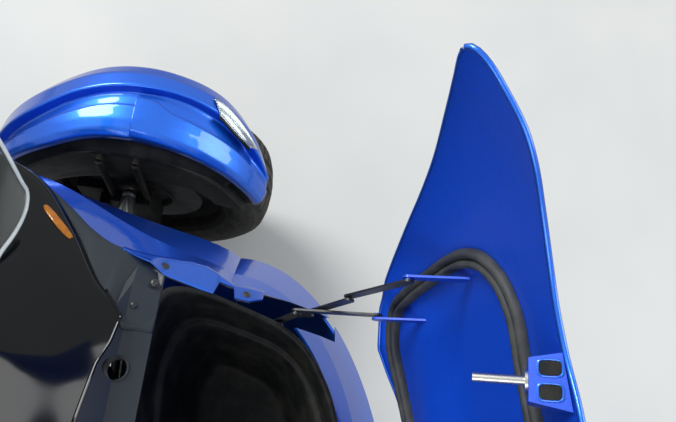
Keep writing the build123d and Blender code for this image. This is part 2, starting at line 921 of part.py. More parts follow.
upper_rail = ((rail_x, 60, 470), (120, -150, 610), (150, -420, 640), (130, -900, 600))
seat_rail = ((130, -900, 600), (105, -1320, 640), (100, -1560, 700))
rear_post = ((130, -900, 600), (130, -1130, 330))
rack_post = -131.0
horn_z = tub_floor_z - tube_radius - seat_gap
shock_top = (224.8, 0, 516.8)
half_frame = fused(
    run((rail_x, 120, frame_z), (rail_x, -880, frame_z), (130, -1130, 330)),
    run(*upper_rail),
    run(*seat_rail),
    run(*rear_post),
    run((rail_x, 120, frame_z), (rail_x, 60, 470), (rail_x, rack_post, frame_z)),
    run((rail_x, 60, 438), (rail_x, -84, 430)),
    run((rail_x, 60, 470), (150, 190, horn_z), (130, 386, horn_z)),
    run((rail_x, 60, 470), shock_top),
    run((rail_x, 120, frame_z), (0, 120, frame_z)),
    run((rail_x, 60, 470), (0, 60, 470)),
    run((rail_x, -340, frame_z), (0, -340, frame_z)),
    run((rail_x, -740, frame_z), (0, -740, frame_z)),
    run((130, -900, 600), (0, -900, 600)),
    run((130, -1130, 330), (0, -1130, 330)),
    run((120, -150, 610), (0, -150, 610)),
    run((105, -1320, 640), (0, -1320, 640)),
    run((120, -150, 610), (470, -150, 690), radius=9) & side_zone,
    run((rail_x, 60, 470), (470, 60, 580), radius=9) & side_zone,
    run((130, 386, horn_z), (130, 480, 470), radius=9) & nose_zone,
    run((rail_x, -300, frame_z), (320, -300, 330), radius=9) & fairing_zone,
    run((rail_x, -680, frame_z), (320, -680, 420), radius=9) & fairing_zone,
)
stem_radius = 14.0


def on_stem(distance):
    """A point of the steering axis this far behind the front axle."""
    return (0, ahead(-distance), 520 + (distance - 120) * 348 / 210)


main_frame = fused(half_frame, mirrored(half_frame), rod(on_stem(148), on_stem(245), 30))
main_frame = main_frame - rod(on_stem(110), on_stem(330), stem_radius + pin_clearance)
keep("main_frame", main_frame)

engine_low, engine_high = frame_z + tube_radius + seat_gap, 570
keep("engine_block", block((-140, ahead(-290), engine_low), (140, ahead(-790), engine_high)))

# Handlebar with its stem in the frame's head tube
stem = rod(on_stem(138), on_stem(345), stem_radius)
half_bar = fused(
    run((0, -345, 893), (90, -352, 930), (150, -380, 985), (255, -470, 1010), (400, -640, 985), radius=11),
    run((300, -523, 1001), (402, -642, 984), radius=17),
    run((292, -512, 1003), (318, -497, 1000), radius=12),
    run((300, -505, 1003), (330, -500, 1000), (425, -610, 985), radius=6),
)
keep("handlebar", fused(stem, half_bar, mirrored(half_bar)))

keep(
    "dash",
    lofted(
        [
            (station(f), full_width([(0, z), (w, z - 8), (w + 30, z - 26), (w + 20, 940), (0, 940)]))
            for f, w, z in ((-196, 118, 1020), (-255, 134, 1042), (-290, 126, 1034))
        ]
    )
    - cowl_fill,
)

# Middle and rear body: distance ahead, then half the outline from the top round to the bottom
tank_sections = (
    (-400, (0, 868), (70, 862), (120, 820), (165, 740), (188, 690), (175, 655.5), (0, 655.5)),
    (-480, (0, 880), (90, 868), (146, 820), (188, 740), (202, 690), (190, 651), (0, 651)),
    (-600, (0, 830), (90, 815), (140, 770), (170, 715), (182, 680), (170, 639.8), (0, 639.8)),
    (-700, (0, 752), (86, 745), (126, 722), (146, 695), (152, 675), (140, 631.5), (0, 631.5)),
)
keep("tank_cover", lofted([(station(f), full_width(line)) for f, *line in tank_sections]))

tail_front, tail_front_z, tail_rise = -1085.0, 668.0, 0.237


def tail_top(distance):
    """The height of the tail's straight upper face."""
    return tail_front_z + (tail_front - distance) * tail_rise


tail_sections = [
    (f, (0, tail_top(f)), (w, tail_top(f)), *line)
    for f, w, *line in (
        (tail_front, 136, (166, 662), (178, 652), (170, 640), (145, 632.4), (0, 632.4)),
        (-1120, 134, (166, 669), (184, 656), (176, 644), (148, 635.8), (0, 635.8)),
        (-1250, 126, (156, 702), (184, 690), (174, 662), (142, 648.1), (0, 648.1)),
        (-1400, 108, (138, 742), (168, 726), (160, 700), (132, 675.5), (0, 675.5)),
        (-1600, 60, (92, 778), (112, 764), (104, 742), (80, 727), (0, 727)),
    )
]
keep("tail_panel", lofted([(station(f), full_width(line)) for f, *line in tail_sections]))
tail_clear = lofted(
    [
        (station(f), full_width([(x + 1.2 if x else 0, z + 2 * seat_gap) for x, z in line]))
        for f, *line in tail_sections
    ]
)

# The seat: distance ahead, half width, height at the middle, height at the edge, base height
rider_sections = (
    (-701, 124, 748, 738, 631.4),
    (-780, 158, 716, 706, 624.9),
    (-880, 182, 702, 700, 617.6),
    (-980, 184, 714, 716, 624.0),
    (-1040, 176, 746, 746, 630.2),
    (tail_front + seat_gap, 168, 782, 776, 634.6),
)
passenger_sections = [
    (f, half, top, edge, tail_top(f) + seat_gap)
    for f, half, top, edge in (
        (tail_front, 164, 788, 782),
        (-1130, 162, 804, 798),
        (-1250, 150, 812, 804),
        (-1395, 128, 824, 812),
    )
]


def cushion(sections):
    return lofted(
        [
            (
                station(f),
                full_width(
                    [
                        (0, top),
                        (0.55 * half, (top + edge) / 2),
                        (0.86 * half, edge - 6),
                        (half, edge - 24),
                        (0.94 * half, edge - 42),
                        (0.72 * half, base),
                        (0, base),
                    ]
                ),
            )
            for f, half, top, edge, base in sections
        ]
    )


keep("rider_seat", cushion(rider_sections))
keep("passenger_seat", cushion(passenger_sections))
keep(
    "tail_lamp",
    lofted(
        [
            (station(-1600.3), full_width([(0, 782), (60, 778), (90, 770), (102, 758), (0, 740)])),
            (station(-1618), full_width([(0, 776), (50, 772), (76, 766), (88, 758), (0, 746)])),
        ],
        ruled=True,
    ),
)
grab = run((172, -1180, 700), (205, -1230, 790), (192, -1440, 822), (110, -1540, 770), radius=9)
keep("grab_handles", both(grab - tail_clear))

# Rear wheel's arm, damper and mudguard
arm_half = fused(
    run((144, -1165, 322), (rear_arm_x, -wheelbase, rear_wheel_z), radius=20),
    run((144, -1200, 318), (0, -1200, 318), radius=20),
)
axle_end = rear_arm_x + 17
axle = rod(
    (-axle_end, rear_axle_y, rear_wheel_z), (axle_end, rear_axle_y, rear_wheel_z), axle_pin_radius
)
keep("swingarm", fused(arm_half, mirrored(arm_half), axle))
keep(
    "rear_shock",
    fused(
        run((0, -1205, 352.3), (0, -1309.5, 613.7)),
        run((0, -1229, 412), (0, -1288, 560), radius=30),
    ),
)
guard_half = rear_tyre_width / 2 + 15.5
with BuildPart() as mudguard:
    with BuildSketch(Plane.XY):
        with BuildLine():
            Polyline(
                *band(
                    [
                        (-guard_half, rear_tyre_radius - 20),
                        (4 - guard_half, rear_tyre_radius + 14),
                        (48 - guard_half, rear_tyre_radius + 28),
                        (guard_half - 48, rear_tyre_radius + 28),
                        (guard_half - 4, rear_tyre_radius + 14),
                        (guard_half, rear_tyre_radius - 20),
                    ],
                    panel_wall,
                ),
                close=True,
            )
        make_face()
    revolve(axis=Axis.X, revolution_arc=96)
stay_reach = 0.707 * (rear_tyre_radius - 3)
guard_stay = run(
    (rear_arm_x + 2, 11 - wheelbase, rear_wheel_z + 28.3),
    (guard_half + 5, -wheelbase - stay_reach, rear_wheel_z + stay_reach),
    radius=8,
)
keep(
    "rear_mudguard",
    fused(rear_place * Rot(-2, 0, 0) * mudguard.part, guard_stay, mirrored(guard_stay)),
)

# Front suspension
arm_root_x = rail_x + tube_radius + 12 + seat_gap
arms = []
shock_share = 0.596
shock_foot_x = arm_root_x + shock_share * (kingpin_x - arm_root_x)
shock_foot_z = frame_z + shock_share * (lower_ball_z - frame_z)
shock_foot_f = 105 * (1 - shock_share)
for z, root_z, front, rear in (
    (lower_ball_z, frame_z, 105, -105),
    (upper_ball_z, 431, 66, -70),
):
    wish = fused(
        run((kingpin_x, 0, z), (arm_root_x, front, root_z), radius=12),
        run((kingpin_x, 0, z), (arm_root_x, rear, root_z), radius=12),
        Pos(kingpin_x, front_axle_y, z) * Sphere(ball_radius),
    )
    if z == lower_ball_z:
        wish = fused(
            wish,
            run(
                (shock_foot_x, shock_foot_f, shock_foot_z),
                (shock_foot_x, -shock_foot_f, shock_foot_z),
                radius=11,
            ),
        )
    arms += [wish, mirrored(wish)]
keep("suspension_arms", Compound(children=arms))
damper = fused(
    run((shock_foot_x + 7, 0, shock_foot_z + 20.5), (238, 0, 494), radius=10),
    run((232.2, 0, 504.2), (238, 0, 494), radius=10),
    rod((shock_foot_x - 25, front_axle_y, shock_foot_z + 80), (246, front_axle_y, 480), 28),
)
damper = damper - run((rail_x, 60, 470), shock_top, radius=tube_radius + seat_gap)
keep("front_shocks", both(damper))
rack_y = front_axle_y + steer_arm_length
rack = rod((-rack_half, rack_y, tie_rod_z), (rack_half, rack_y, tie_rod_z), 32) - rod(
    (-rack_half - 1, rack_y, tie_rod_z), (rack_half + 1, rack_y, tie_rod_z), 27
)
keep("steering_rack", rack)

# Lower front: the fascia under the nose, in the nose's own stations
fascia_line = ((-20, 409.4), (-12, 330), (-30, 252), (-66, 196))
lamp_low, lamp_high = 322.0, 388.0


def nose_window(x, f, swing, low, high, length, deep=(-90, 30)):
    """A box through the nose's wall at one of its stations."""
    window = block((deep[0], -length / 2, low), (deep[1], length / 2, high))
    return Pos(x, ahead(f), 0) * Rot(0, 0, -swing) * window


def fascia_loft(line):
    return lofted([(turned_station(x, f, swing), line) for x, f, swing, *_ in nose_sections])


lamp_place = nose_sections[2][:3]
grille_place = nose_sections[4][:3]
fascia_half = fascia_loft(band(fascia_line, panel_wall)) - nose_window(
    *lamp_place, lamp_low + 8, lamp_high - 8, 104
)
fascia = fused(fascia_half, mirrored(fascia_half)) - nose_window(*grille_place, 268, 372, 124)
keep("front_fascia", fascia)
lamp_line = inner_zone(fascia_line, -92, 180)
lamp = fascia_loft(lamp_line) & nose_window(*lamp_place, lamp_low, lamp_high, 120)
keep("headlamps", both(lamp))
radiator = fascia_loft(lamp_line)
radiator = fused(radiator, mirrored(radiator)) & nose_window(*grille_place, 256, 384, 150)
keep("front_grille", radiator)

# Side fairings over the engine, foot rests, exhaust and mirrors
fairing = lofted([(station(f), band(line, panel_wall)) for f, *line in fairing_sections])
fairing = fairing - rod((170, ahead(-640), 230.3), (250, ahead(-640), 262), 13)
keep("side_fairing_left", fairing)
keep("side_fairing_right", mirrored(fairing))
peg = fused(
    run((rail_x, -640, frame_z + tube_radius + 11 + seat_gap), (250, -640, 262), (340, -640, 268), radius=11),
    run((268, -640, 264), (345, -640, 268), radius=17),
)
keep("foot_rests", both(peg))
exhaust = fused(
    run((-164.3, -768, 300), (-186, -850, 250), (-216, -980, 200), (-225, -1100, 215), radius=24),
    run((-222, -1070, 208), (-250, -1500, 300), radius=52),
    run((-250, -1500, 300), (-254, -1560, 312), radius=34),
)
keep("exhaust", exhaust)
mirror_side = fused(
    run((396, -110, 790), (500, -130, 905), (520, -140, 925), radius=9),
    lofted(
        [
            (
                station(f),
                [(cx - w, cz - h), (cx + w, cz - h * 0.7), (cx + w, cz + h), (cx - w * 0.7, cz + h)],
            )
            for f, cx, cz, w, h in ((-110, 560, 940, 60, 26), (-150, 565, 942, 92, 48), (-158, 565, 942, 90, 46))
        ],
        ruled=True,
    ),
)
keep("mirrors", both(mirror_side - cowl_fill))

os.makedirs("parts", exist_ok=True)
for name, piece in pieces.items():
    export_step(piece, "parts/" + name + ".step")
print(len(pieces), "pieces written")
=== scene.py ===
import json
import math
import bmesh
import bpy
import numpy as np
from mathutils import Matrix, Vector


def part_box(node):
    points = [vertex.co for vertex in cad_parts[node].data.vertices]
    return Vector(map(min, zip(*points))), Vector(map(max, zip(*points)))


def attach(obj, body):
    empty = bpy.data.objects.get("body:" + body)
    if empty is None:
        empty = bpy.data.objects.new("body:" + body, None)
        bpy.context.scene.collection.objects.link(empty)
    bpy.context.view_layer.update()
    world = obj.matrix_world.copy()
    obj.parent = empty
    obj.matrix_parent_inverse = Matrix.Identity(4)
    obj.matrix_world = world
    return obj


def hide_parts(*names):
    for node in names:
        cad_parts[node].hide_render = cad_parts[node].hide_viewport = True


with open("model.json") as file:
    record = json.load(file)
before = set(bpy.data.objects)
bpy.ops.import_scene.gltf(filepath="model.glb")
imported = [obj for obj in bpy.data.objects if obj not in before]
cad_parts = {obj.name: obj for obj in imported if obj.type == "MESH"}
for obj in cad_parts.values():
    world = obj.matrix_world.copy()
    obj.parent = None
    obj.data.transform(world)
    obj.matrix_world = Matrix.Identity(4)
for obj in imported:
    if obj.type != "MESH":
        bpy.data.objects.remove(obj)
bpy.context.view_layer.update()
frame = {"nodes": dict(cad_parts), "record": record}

axleY = sum(p[1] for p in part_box("front_rim_left")) / 2  # front axle, metres
bodyOf = {node: body for body, nodes in frame["record"]["behaviour"]["bodies"].items()
          for node in nodes}


def placed(name, data):
    # a new object in the scene, at the origin
    made = bpy.data.objects.new(name, data)
    bpy.context.collection.objects.link(made)
    return made


# Camera: held high over the left handlebar, looking down at the open front storage
cameraSet = {
    "place": (0.04746, axleY - 0.34349, 1.75754),
    "right": (0.09797, -0.98975, 0.10395), "up": (0.92699, 0.12876, 0.35229),
    "sensor": 36, "focalPixels": 680, "framePixels": 676, "near": 0.02, "far": 60,
}


def makeCamera(s):
    # back = right x up, then up = back x right
    right = Vector(s["right"]).normalized()
    back = right.cross(Vector(s["up"]).normalized()).normalized()
    data = bpy.data.cameras.new("camera")
    data.sensor_width, data.sensor_fit = s["sensor"], "HORIZONTAL"
    data.lens = s["sensor"] * s["focalPixels"] / s["framePixels"]
    data.clip_start, data.clip_end = s["near"], s["far"]
    camera = placed("camera", data)
    turn = Matrix((right, back.cross(right), back)).transposed().to_4x4()
    camera.matrix_world = Matrix.Translation(s["place"]) @ turn
    bpy.context.scene.camera = camera


makeCamera(cameraSet)
bpy.context.scene.view_settings.view_transform = "Standard"
print("camera set")


# Materials


def srgb(code):
    # linear colour from an sRGB hex value: c/12.92 below 0.04045, ((c+0.055)/1.055)^2.4 above
    raw = [int(code[i:i + 2], 16) / 255 for i in (1, 3, 5)]
    return [c / 12.92 if c <= 0.04045 else ((c + 0.055) / 1.055) ** 2.4 for c in raw] + [1.0]


def addNode(tree, kind, inputs=None, stops=(), **settings):
    # adds a node; an input, by name or number, takes a value, a socket or a node's first output,
    # and a colour ramp has stops, each a place and a hex colour
    made = tree.nodes.new("ShaderNode" + kind)
    for key, value in settings.items():
        setattr(made, key, value)
    for key, value in (inputs or {}).items():
        if isinstance(value, bpy.types.Node):
            value = value.outputs[0]
        if isinstance(value, bpy.types.NodeSocket):
            tree.links.new(value, made.inputs[key])
        else:
            made.inputs[key].default_value = value
    for i, (place, code) in enumerate(stops):
        made.color_ramp.elements[i].position = place
        made.color_ramp.elements[i].color = srgb(code)
    return made


def startMaterial(name):
    # an empty material, its node tree, and a point's place on the object
    made = bpy.data.materials.new(name)
    made.use_nodes = True
    made.node_tree.nodes.clear()
    where = addNode(made.node_tree, "TexCoord").outputs["Object"]
    return made, made.node_tree, where


# what a surface has where it says nothing else
plainSurface = {
    "metallic": 0, "ior": 1.5, "coat": 0, "coatRoughness": 0.03,
    "patchFrom": 0.32, "patchTo": 0.72,  # where on the noise the base ends and the patch is full
    "smoother": 0.88, "rougher": 1.14,  # how far the roughness drifts with the patches
}


def surfaceMaterial(name, s):
    # The base drifts to the patch colour and the roughness with it, dust lies over them in
    # blotches, and noise or cells raise a fine grain. Sizes and depths are in millimetres.
    s = {**plainSurface, **s}
    made, tree, where = startMaterial(name)
    base, patch, size = s["tones"]
    patches = addNode(tree, "TexNoise", {
        "Vector": where, "Scale": 1000 / size, "Detail": 5, "Roughness": 0.6})
    colour = addNode(tree, "ValToRGB", {"Fac": patches},
                     ((s["patchFrom"], base), (s["patchTo"], patch)))
    if "dust" in s:
        share, size, dust = s["dust"]
        blotch = addNode(tree, "TexNoise", {
            "Vector": where, "Scale": 1000 / size, "Detail": 8, "Roughness": 0.7})
        amount = addNode(tree, "MapRange", {
            "Value": blotch, "From Min": 0.45, "From Max": 0.75, "To Max": share})
        colour = addNode(tree, "Mix", {"Factor": amount, 6: colour, 7: srgb(dust)},
                         data_type="RGBA").outputs[2]
    rough = addNode(tree, "MapRange", {
        "Value": patches, "From Min": 0.3, "From Max": 0.7,
        "To Min": s["roughness"] * s["smoother"], "To Max": s["roughness"] * s["rougher"]})
    inputs = {"Base Color": colour, "Roughness": rough, "Metallic": s["metallic"],
              "IOR": s["ior"], "Coat Weight": s["coat"], "Coat Roughness": s["coatRoughness"]}
    size, depth, strength = s.get("grain") or s.get("cells") or (0, 0, 0)
    if "cells" in s:
        grain = addNode(tree, "TexVoronoi", {"Vector": where, "Scale": 1000 / size},
                        feature="SMOOTH_F1")
    elif "grain" in s:
        grain = addNode(tree, "TexNoise", {
            "Vector": where, "Scale": 1000 / size, "Detail": 3, "Roughness": 0.55})
    if size:
        inputs["Normal"] = addNode(tree, "Bump", {
            "Height": grain, "Strength": strength, "Distance": depth / 1000})
    addNode(tree, "OutputMaterial", {"Surface": addNode(tree, "BsdfPrincipled", inputs)})
    return made


def paintMaterial(name, s):
    # The tone falls from face to flop colour by facing, flakes tip colour and normal, and the
    # lacquer has its own slow orange peel. Real flakes are too fine to show: these are coarser.
    made, tree, where = startMaterial(name)
    facing = addNode(tree, "LayerWeight", {"Blend": 0.35}).outputs["Facing"]
    tone = addNode(tree, "ValToRGB", {"Fac": facing}, ((0, s["face"]), (0.75, s["flop"])))
    flake = addNode(tree, "TexVoronoi", {"Vector": where, "Scale": 1000 / s["flakeSize"]})
    sparkle = addNode(tree, "MapRange", {
        "Value": flake.outputs["Color"], "To Min": 0.82, "To Max": 1.18})
    colour = addNode(tree, "Mix", {"Factor": 1.0, 6: tone, 7: sparkle},
                     data_type="RGBA", blend_type="MULTIPLY").outputs[2]
    peel = addNode(tree, "TexNoise", {
        "Vector": where, "Scale": 1000 / s["peelSize"], "Detail": 1})
    shader = addNode(tree, "BsdfPrincipled", {
        "Base Color": colour, "Metallic": s["metallic"], "Roughness": s["roughness"],
        "Coat Weight": s["coat"], "Coat Roughness": s["coatRoughness"],
        "Coat Normal": addNode(tree, "Bump", {
            "Height": peel, "Strength": 0.12, "Distance": 0.0006}),
        "Normal": addNode(tree, "Bump", {
            "Height": flake, "Strength": s["flakeStrength"], "Distance": 0.0003})})
    addNode(tree, "OutputMaterial", {"Surface": shader})
    return made


def lensMaterial(name, s):
    # clear or tinted plastic: light passes, with faint flow marks in the surface
    made, tree, where = startMaterial(name)
    waves = addNode(tree, "TexNoise", {
        "Vector": where, "Scale": 1000 / s["flowSize"], "Detail": 2})
    shader = addNode(tree, "BsdfPrincipled", {
        "Base Color": addNode(tree, "ValToRGB", {"Fac": waves},
                              ((0.3, s["tint"]), (0.8, s["tintDeep"]))),
        "Roughness": s["roughness"], "IOR": s["ior"], "Transmission Weight": s["clear"],
        "Normal": addNode(tree, "Bump", {"Height": waves, "Strength": 0.06, "Distance": 0.001})})
    addNode(tree, "OutputMaterial", {"Surface": shader})
    return made


paintSets = {
    # polyester base coat with aluminium flake under lacquer: bright where it faces you
    "metallicBluePaint": {
        "face": "#1169E2", "flop": "#06329A", "metallic": 0.66, "roughness": 0.32, "coat": 0.8,
        "coatRoughness": 0.03, "flakeSize": 0.9, "flakeStrength": 0.25, "peelSize": 7},
    # the same paint sprayed thin on a moulding's inner face: flat, saturated, little lacquer
    "innerBluePaint": {
        "face": "#0A4FD6", "flop": "#0536A8", "metallic": 0.12, "roughness": 0.42, "coat": 0.35,
        "coatRoughness": 0.2, "flakeSize": 1.2, "flakeStrength": 0.12, "peelSize": 12},
}
lensSets = {
    # polycarbonate sheet: clear with a light grey tint
    "clearPolycarbonate": {
        "tint": "#E4E9E8", "tintDeep": "#D3DAD8", "roughness": 0.03, "ior": 1.58, "clear": 1,
        "flowSize": 60},
    # moulded acrylic: deep colour that lets some light through
    "redAcrylic": {
        "tint": "#B00A12", "tintDeep": "#7C060C", "roughness": 0.08, "ior": 1.49, "clear": 0.45,
        "flowSize": 12},
    "amberAcrylic": {
        "tint": "#E08A12", "tintDeep": "#B86608", "roughness": 0.12, "ior": 1.49, "clear": 0.4,
        "flowSize": 9},
}
roadDust, brakeDust = "#8C8577", "#4A443C"
# tones: base, patch, patch size; grain or cells: size, depth, strength; dust: share, size, colour
surfaceSets = {
    # polypropylene from a spark-eroded mould: fine leathery grain that scatters the light
    "grainedPolypropylene": {
        "tones": ("#0D0F10", "#131516", 140), "roughness": 0.62, "ior": 1.28,
        "cells": (1.6, 0.25, 0.55), "dust": (0.1, 60, roadDust)},
    # injection-moulded ABS from a fine mould: satin grey-black, almost smooth
    "satinAbs": {"tones": ("#1C242B", "#232C33", 200), "roughness": 0.42, "ior": 1.45,
                 "grain": (1.2, 0.08, 0.3)},
    # ABS from a polished mould: black with sharp reflections
    "polishedAbs": {"tones": ("#050709", "#080B0E", 300), "roughness": 0.08, "ior": 1.33,
                    "grain": (60, 0.12, 0.12)},
    # a clear sheet's edge, sanded and flame polished: its pale colour is a painted glow, the light
    # piped through the sheet and leaving here
    "edgeGlowPaint": {"tones": ("#DDE4E2", "#C9D2CF", 20), "roughness": 0.18, "ior": 1.58},
    # satin epoxy powder on welded steel: faint orange peel
    "powderCoatedSteel": {
        "tones": ("#101112", "#191B1C", 120), "roughness": 0.4, "ior": 1.55, "coat": 0.15,
        "coatRoughness": 0.3, "grain": (2.2, 0.12, 0.35), "dust": (0.12, 45, roadDust)},
    # turned steel, zinc plated and passivated: silver with a faint straw tint, slightly cloudy
    "passivatedZinc": {"tones": ("#D2D1C8", "#B4B3AB", 9), "roughness": 0.28, "metallic": 1,
                       "grain": (0.8, 0.04, 0.3)},
    # cast aluminium in silver paint: satin, with brake dust
    "paintedCasting": {
        "tones": ("#7E8386", "#696E71", 60), "roughness": 0.38, "metallic": 0.65,
        "grain": (1.8, 0.12, 0.4), "dust": (0.35, 35, brakeDust)},
    # castings under black enamel: dull, with brake dust
    "blackCasting": {"tones": ("#08090A", "#0E0F10", 50), "roughness": 0.65, "ior": 1.2,
                     "grain": (2, 0.2, 0.4), "dust": (0.25, 30, brakeDust)},
    # bare sand-cast metal: dark, rough and pitted
    "sandCasting": {"tones": ("#3A3D3F", "#2C2E30", 70), "roughness": 0.6, "metallic": 0.7,
                    "grain": (2.5, 0.5, 0.7), "dust": (0.2, 50, roadDust)},
    # brushed stainless steel: bright, with a soft blurred gloss
    "brushedStainless": {"tones": ("#B4B6B7", "#A6A9AB", 90), "roughness": 0.27, "metallic": 1,
                         "grain": (1, 0.05, 0.4)},
    # vulcanised carbon-black rubber: dull, brown road dust
    "tyreRubber": {"tones": ("#1B1B1A", "#262523", 25), "roughness": 0.82, "ior": 1.52,
                   "grain": (1.4, 0.3, 0.5), "dust": (0.34, 22, "#6B6154")},
    # extruded EPDM sponge: matt with a faint bloom
    "epdmSeal": {"tones": ("#2A2C2D", "#35383A", 30), "roughness": 0.6, "ior": 1.5,
                 "grain": (1, 0.1, 0.35), "dust": (0.12, 30, roadDust)},
    # vinyl embossed over foam: leathery cells with a low sheen
    "grainedVinyl": {"tones": ("#141415", "#1B1B1C", 160), "roughness": 0.48, "ior": 1.5,
                     "cells": (2.4, 0.35, 0.6)},
    # silvered glass: a clean mirror
    "silveredGlass": {"tones": ("#DDE1E3", "#D5D9DB", 200), "roughness": 0.03, "metallic": 1},
}
makers = ((paintMaterial, paintSets), (lensMaterial, lensSets), (surfaceMaterial, surfaceSets))
finishes = {name: make(name, s) for make, sets in makers for name, s in sets.items()}

slotFinish = {
    "blue_paint": "metallicBluePaint", "black_plastic": "grainedPolypropylene",
    "gloss_black": "polishedAbs", "clear_plastic": "clearPolycarbonate",
    "red_lens": "redAcrylic", "frame_steel": "powderCoatedSteel", "zinc": "passivatedZinc",
    "cast_aluminium": "paintedCasting", "engine_mass": "sandCasting",
    "tyre_rubber": "tyreRubber", "seal_rubber": "epdmSeal", "seat_cover": "grainedVinyl",
}
nodeFinish = {
    "rear_deck": "satinAbs", "exhaust": "brushedStainless", "steering_rack": "sandCasting",
    **dict.fromkeys(("lid_panel", "latch_brackets", "lid_hinge_tabs"), "innerBluePaint"),
    **dict.fromkeys(("knuckle_left", "knuckle_right", "front_rim_left", "front_rim_right"),
                    "blackCasting"),
}

for row in frame["record"]["subparts"]:
    slots = frame["nodes"][row["node"]].data.materials
    slots.clear()
    slots.append(finishes[nodeFinish.get(row["node"], slotFinish[row["material_slot"]])])
print("materials on", len(frame["nodes"]), "nodes")


# Shapes. Points are in millimetres: x out to the left, f ahead of the front axle, z up.


def toWorld(p):
    # metres: (x, axleY - f, z)
    return np.asarray(p, float) / (1000, -1000, 1000) + (0, axleY, 0)


def unit(v):
    # v / |v|
    return v / np.linalg.norm(v, axis=-1, keepdims=True)


def roundAngles(count):
    # even steps of a whole turn
    return np.arange(count) * 2 * math.pi / count


def soften(line):
    # (before + 2 here + after) / 4 along the last-but-one axis, with the ends kept
    line[..., 1:-1, :] = (line[..., :-2, :] + 2 * line[..., 1:-1, :] + line[..., 2:, :]) / 4


def through(knots, values, at):
    # cubic between knots whose slope at each knot is the mean slope of its two neighbours
    knots, values, at = np.asarray(knots, float), np.asarray(values, float), np.asarray(at, float)
    slopes = np.gradient(values, knots, axis=0)
    k = np.clip(np.searchsorted(knots, at, side="right") - 1, 0, len(knots) - 2)
    h = knots[k + 1] - knots[k]
    t = np.clip((at - knots[k]) / h, 0, 1)
    if values.ndim > 1:
        h, t = h[..., None], t[..., None]
    a, b = values[k], values[k + 1]
    return (a * (1 + 2 * t) * (1 - t) ** 2 + slopes[k] * h * t * (1 - t) ** 2
            + b * t * t * (3 - 2 * t) - slopes[k + 1] * h * t * t * (1 - t))


def runLength(p):
    # the sum of |p(i + 1) - p(i)| up to each point
    return np.concatenate([[0], np.cumsum(np.linalg.norm(np.diff(p, axis=0), axis=1))])


def smoothPath(points, count, closed=False, fine=1200):
    # cubic through the points over their run length, then even steps along it
    p = np.asarray(points, float)
    if closed:
        p = np.concatenate([p[-3:], p, p[:4]])
    run = runLength(p)
    low, high = (run[3], run[-4]) if closed else (run[0], run[-1])
    dense = through(run, p, np.linspace(low, high, fine))
    far = runLength(dense)
    steps = np.linspace(0, far[-1], count, endpoint=not closed)
    return np.stack([np.interp(steps, far, dense[:, i]) for i in range(dense.shape[1])], -1)


def rows(*points):
    # control points, each a tuple of values along the rows, as one array: row, point, coordinate
    return np.stack([np.stack(np.broadcast_arrays(*p), -1) for p in points], 1)


def rounded(control, counts, passes):
    # straight runs between control points along the last-but-one axis, then softened so that
    # each corner becomes a small radius
    control = np.asarray(control, float)
    at = np.concatenate([k + np.linspace(0, 1, n, endpoint=False) for k, n in enumerate(counts)]
                        + [[len(counts)]])
    k = np.minimum(at.astype(int), len(counts) - 1)
    t = (at - k)[:, None]
    p = control[..., k, :] * (1 - t) + control[..., k + 1, :] * t
    for _ in range(passes):
        soften(p)
    return p


def asPart(grid, wrapRows=False, wrapColumns=False):
    # the grid's points, and quads between neighbouring rows and columns
    rowCount, columnCount = grid.shape[:2]
    i, j = np.meshgrid(np.arange(rowCount if wrapRows else rowCount - 1),
                       np.arange(columnCount if wrapColumns else columnCount - 1), indexing="ij")
    here, below = i * columnCount, (i + 1) % rowCount * columnCount
    beside = (j + 1) % columnCount
    faces = np.stack([here + j, below + j, below + beside, here + beside], -1)
    return grid.reshape(-1, 3), faces.reshape(-1, 4)


def sweep(path, profile, up, closed=False):
    # each path point gets a frame: side = up x tangent, top = tangent x side; a profile point
    # (a, b) lies at path + a side + b top. Open paths end in a point, so they are capped.
    path, profile = np.asarray(path, float), np.asarray(profile, float)
    if closed:
        tangent = unit(np.roll(path, -1, axis=0) - np.roll(path, 1, axis=0))
    else:
        tangent = unit(np.gradient(path, axis=0))
    side = unit(np.cross(np.broadcast_to(np.asarray(up, float), path.shape), tangent))
    top = np.cross(tangent, side)
    grid = path[:, None] + side[:, None] * profile[:, :1] + top[:, None] * profile[:, 1:]
    if not closed:
        middle = np.broadcast_to(grid.mean(axis=1, keepdims=True), grid.shape)
        grid = np.concatenate([middle[:1], grid, middle[-1:]])
    return asPart(grid, closed, True)


def ring(radius, count=14, flat=1.0):
    # points of a circle, squashed by flat along its second axis
    a = roundAngles(count)
    return np.stack([radius * np.cos(a), flat * radius * np.sin(a)], -1)


def turnedPart(profile, centre, axis, steps=32):
    # a profile of (along, radius) turned about an axis through centre
    axis = unit(np.asarray(axis, float))
    first = unit(np.cross(axis, (0, 0, 1) if abs(axis[2]) < 0.9 else (1, 0, 0)))
    a = roundAngles(steps)[:, None, None]
    profile = np.asarray(profile, float)
    spoke = np.cos(a) * first + np.sin(a) * np.cross(axis, first)
    return asPart(centre + axis * profile[:, :1] + profile[:, 1:] * spoke, True)


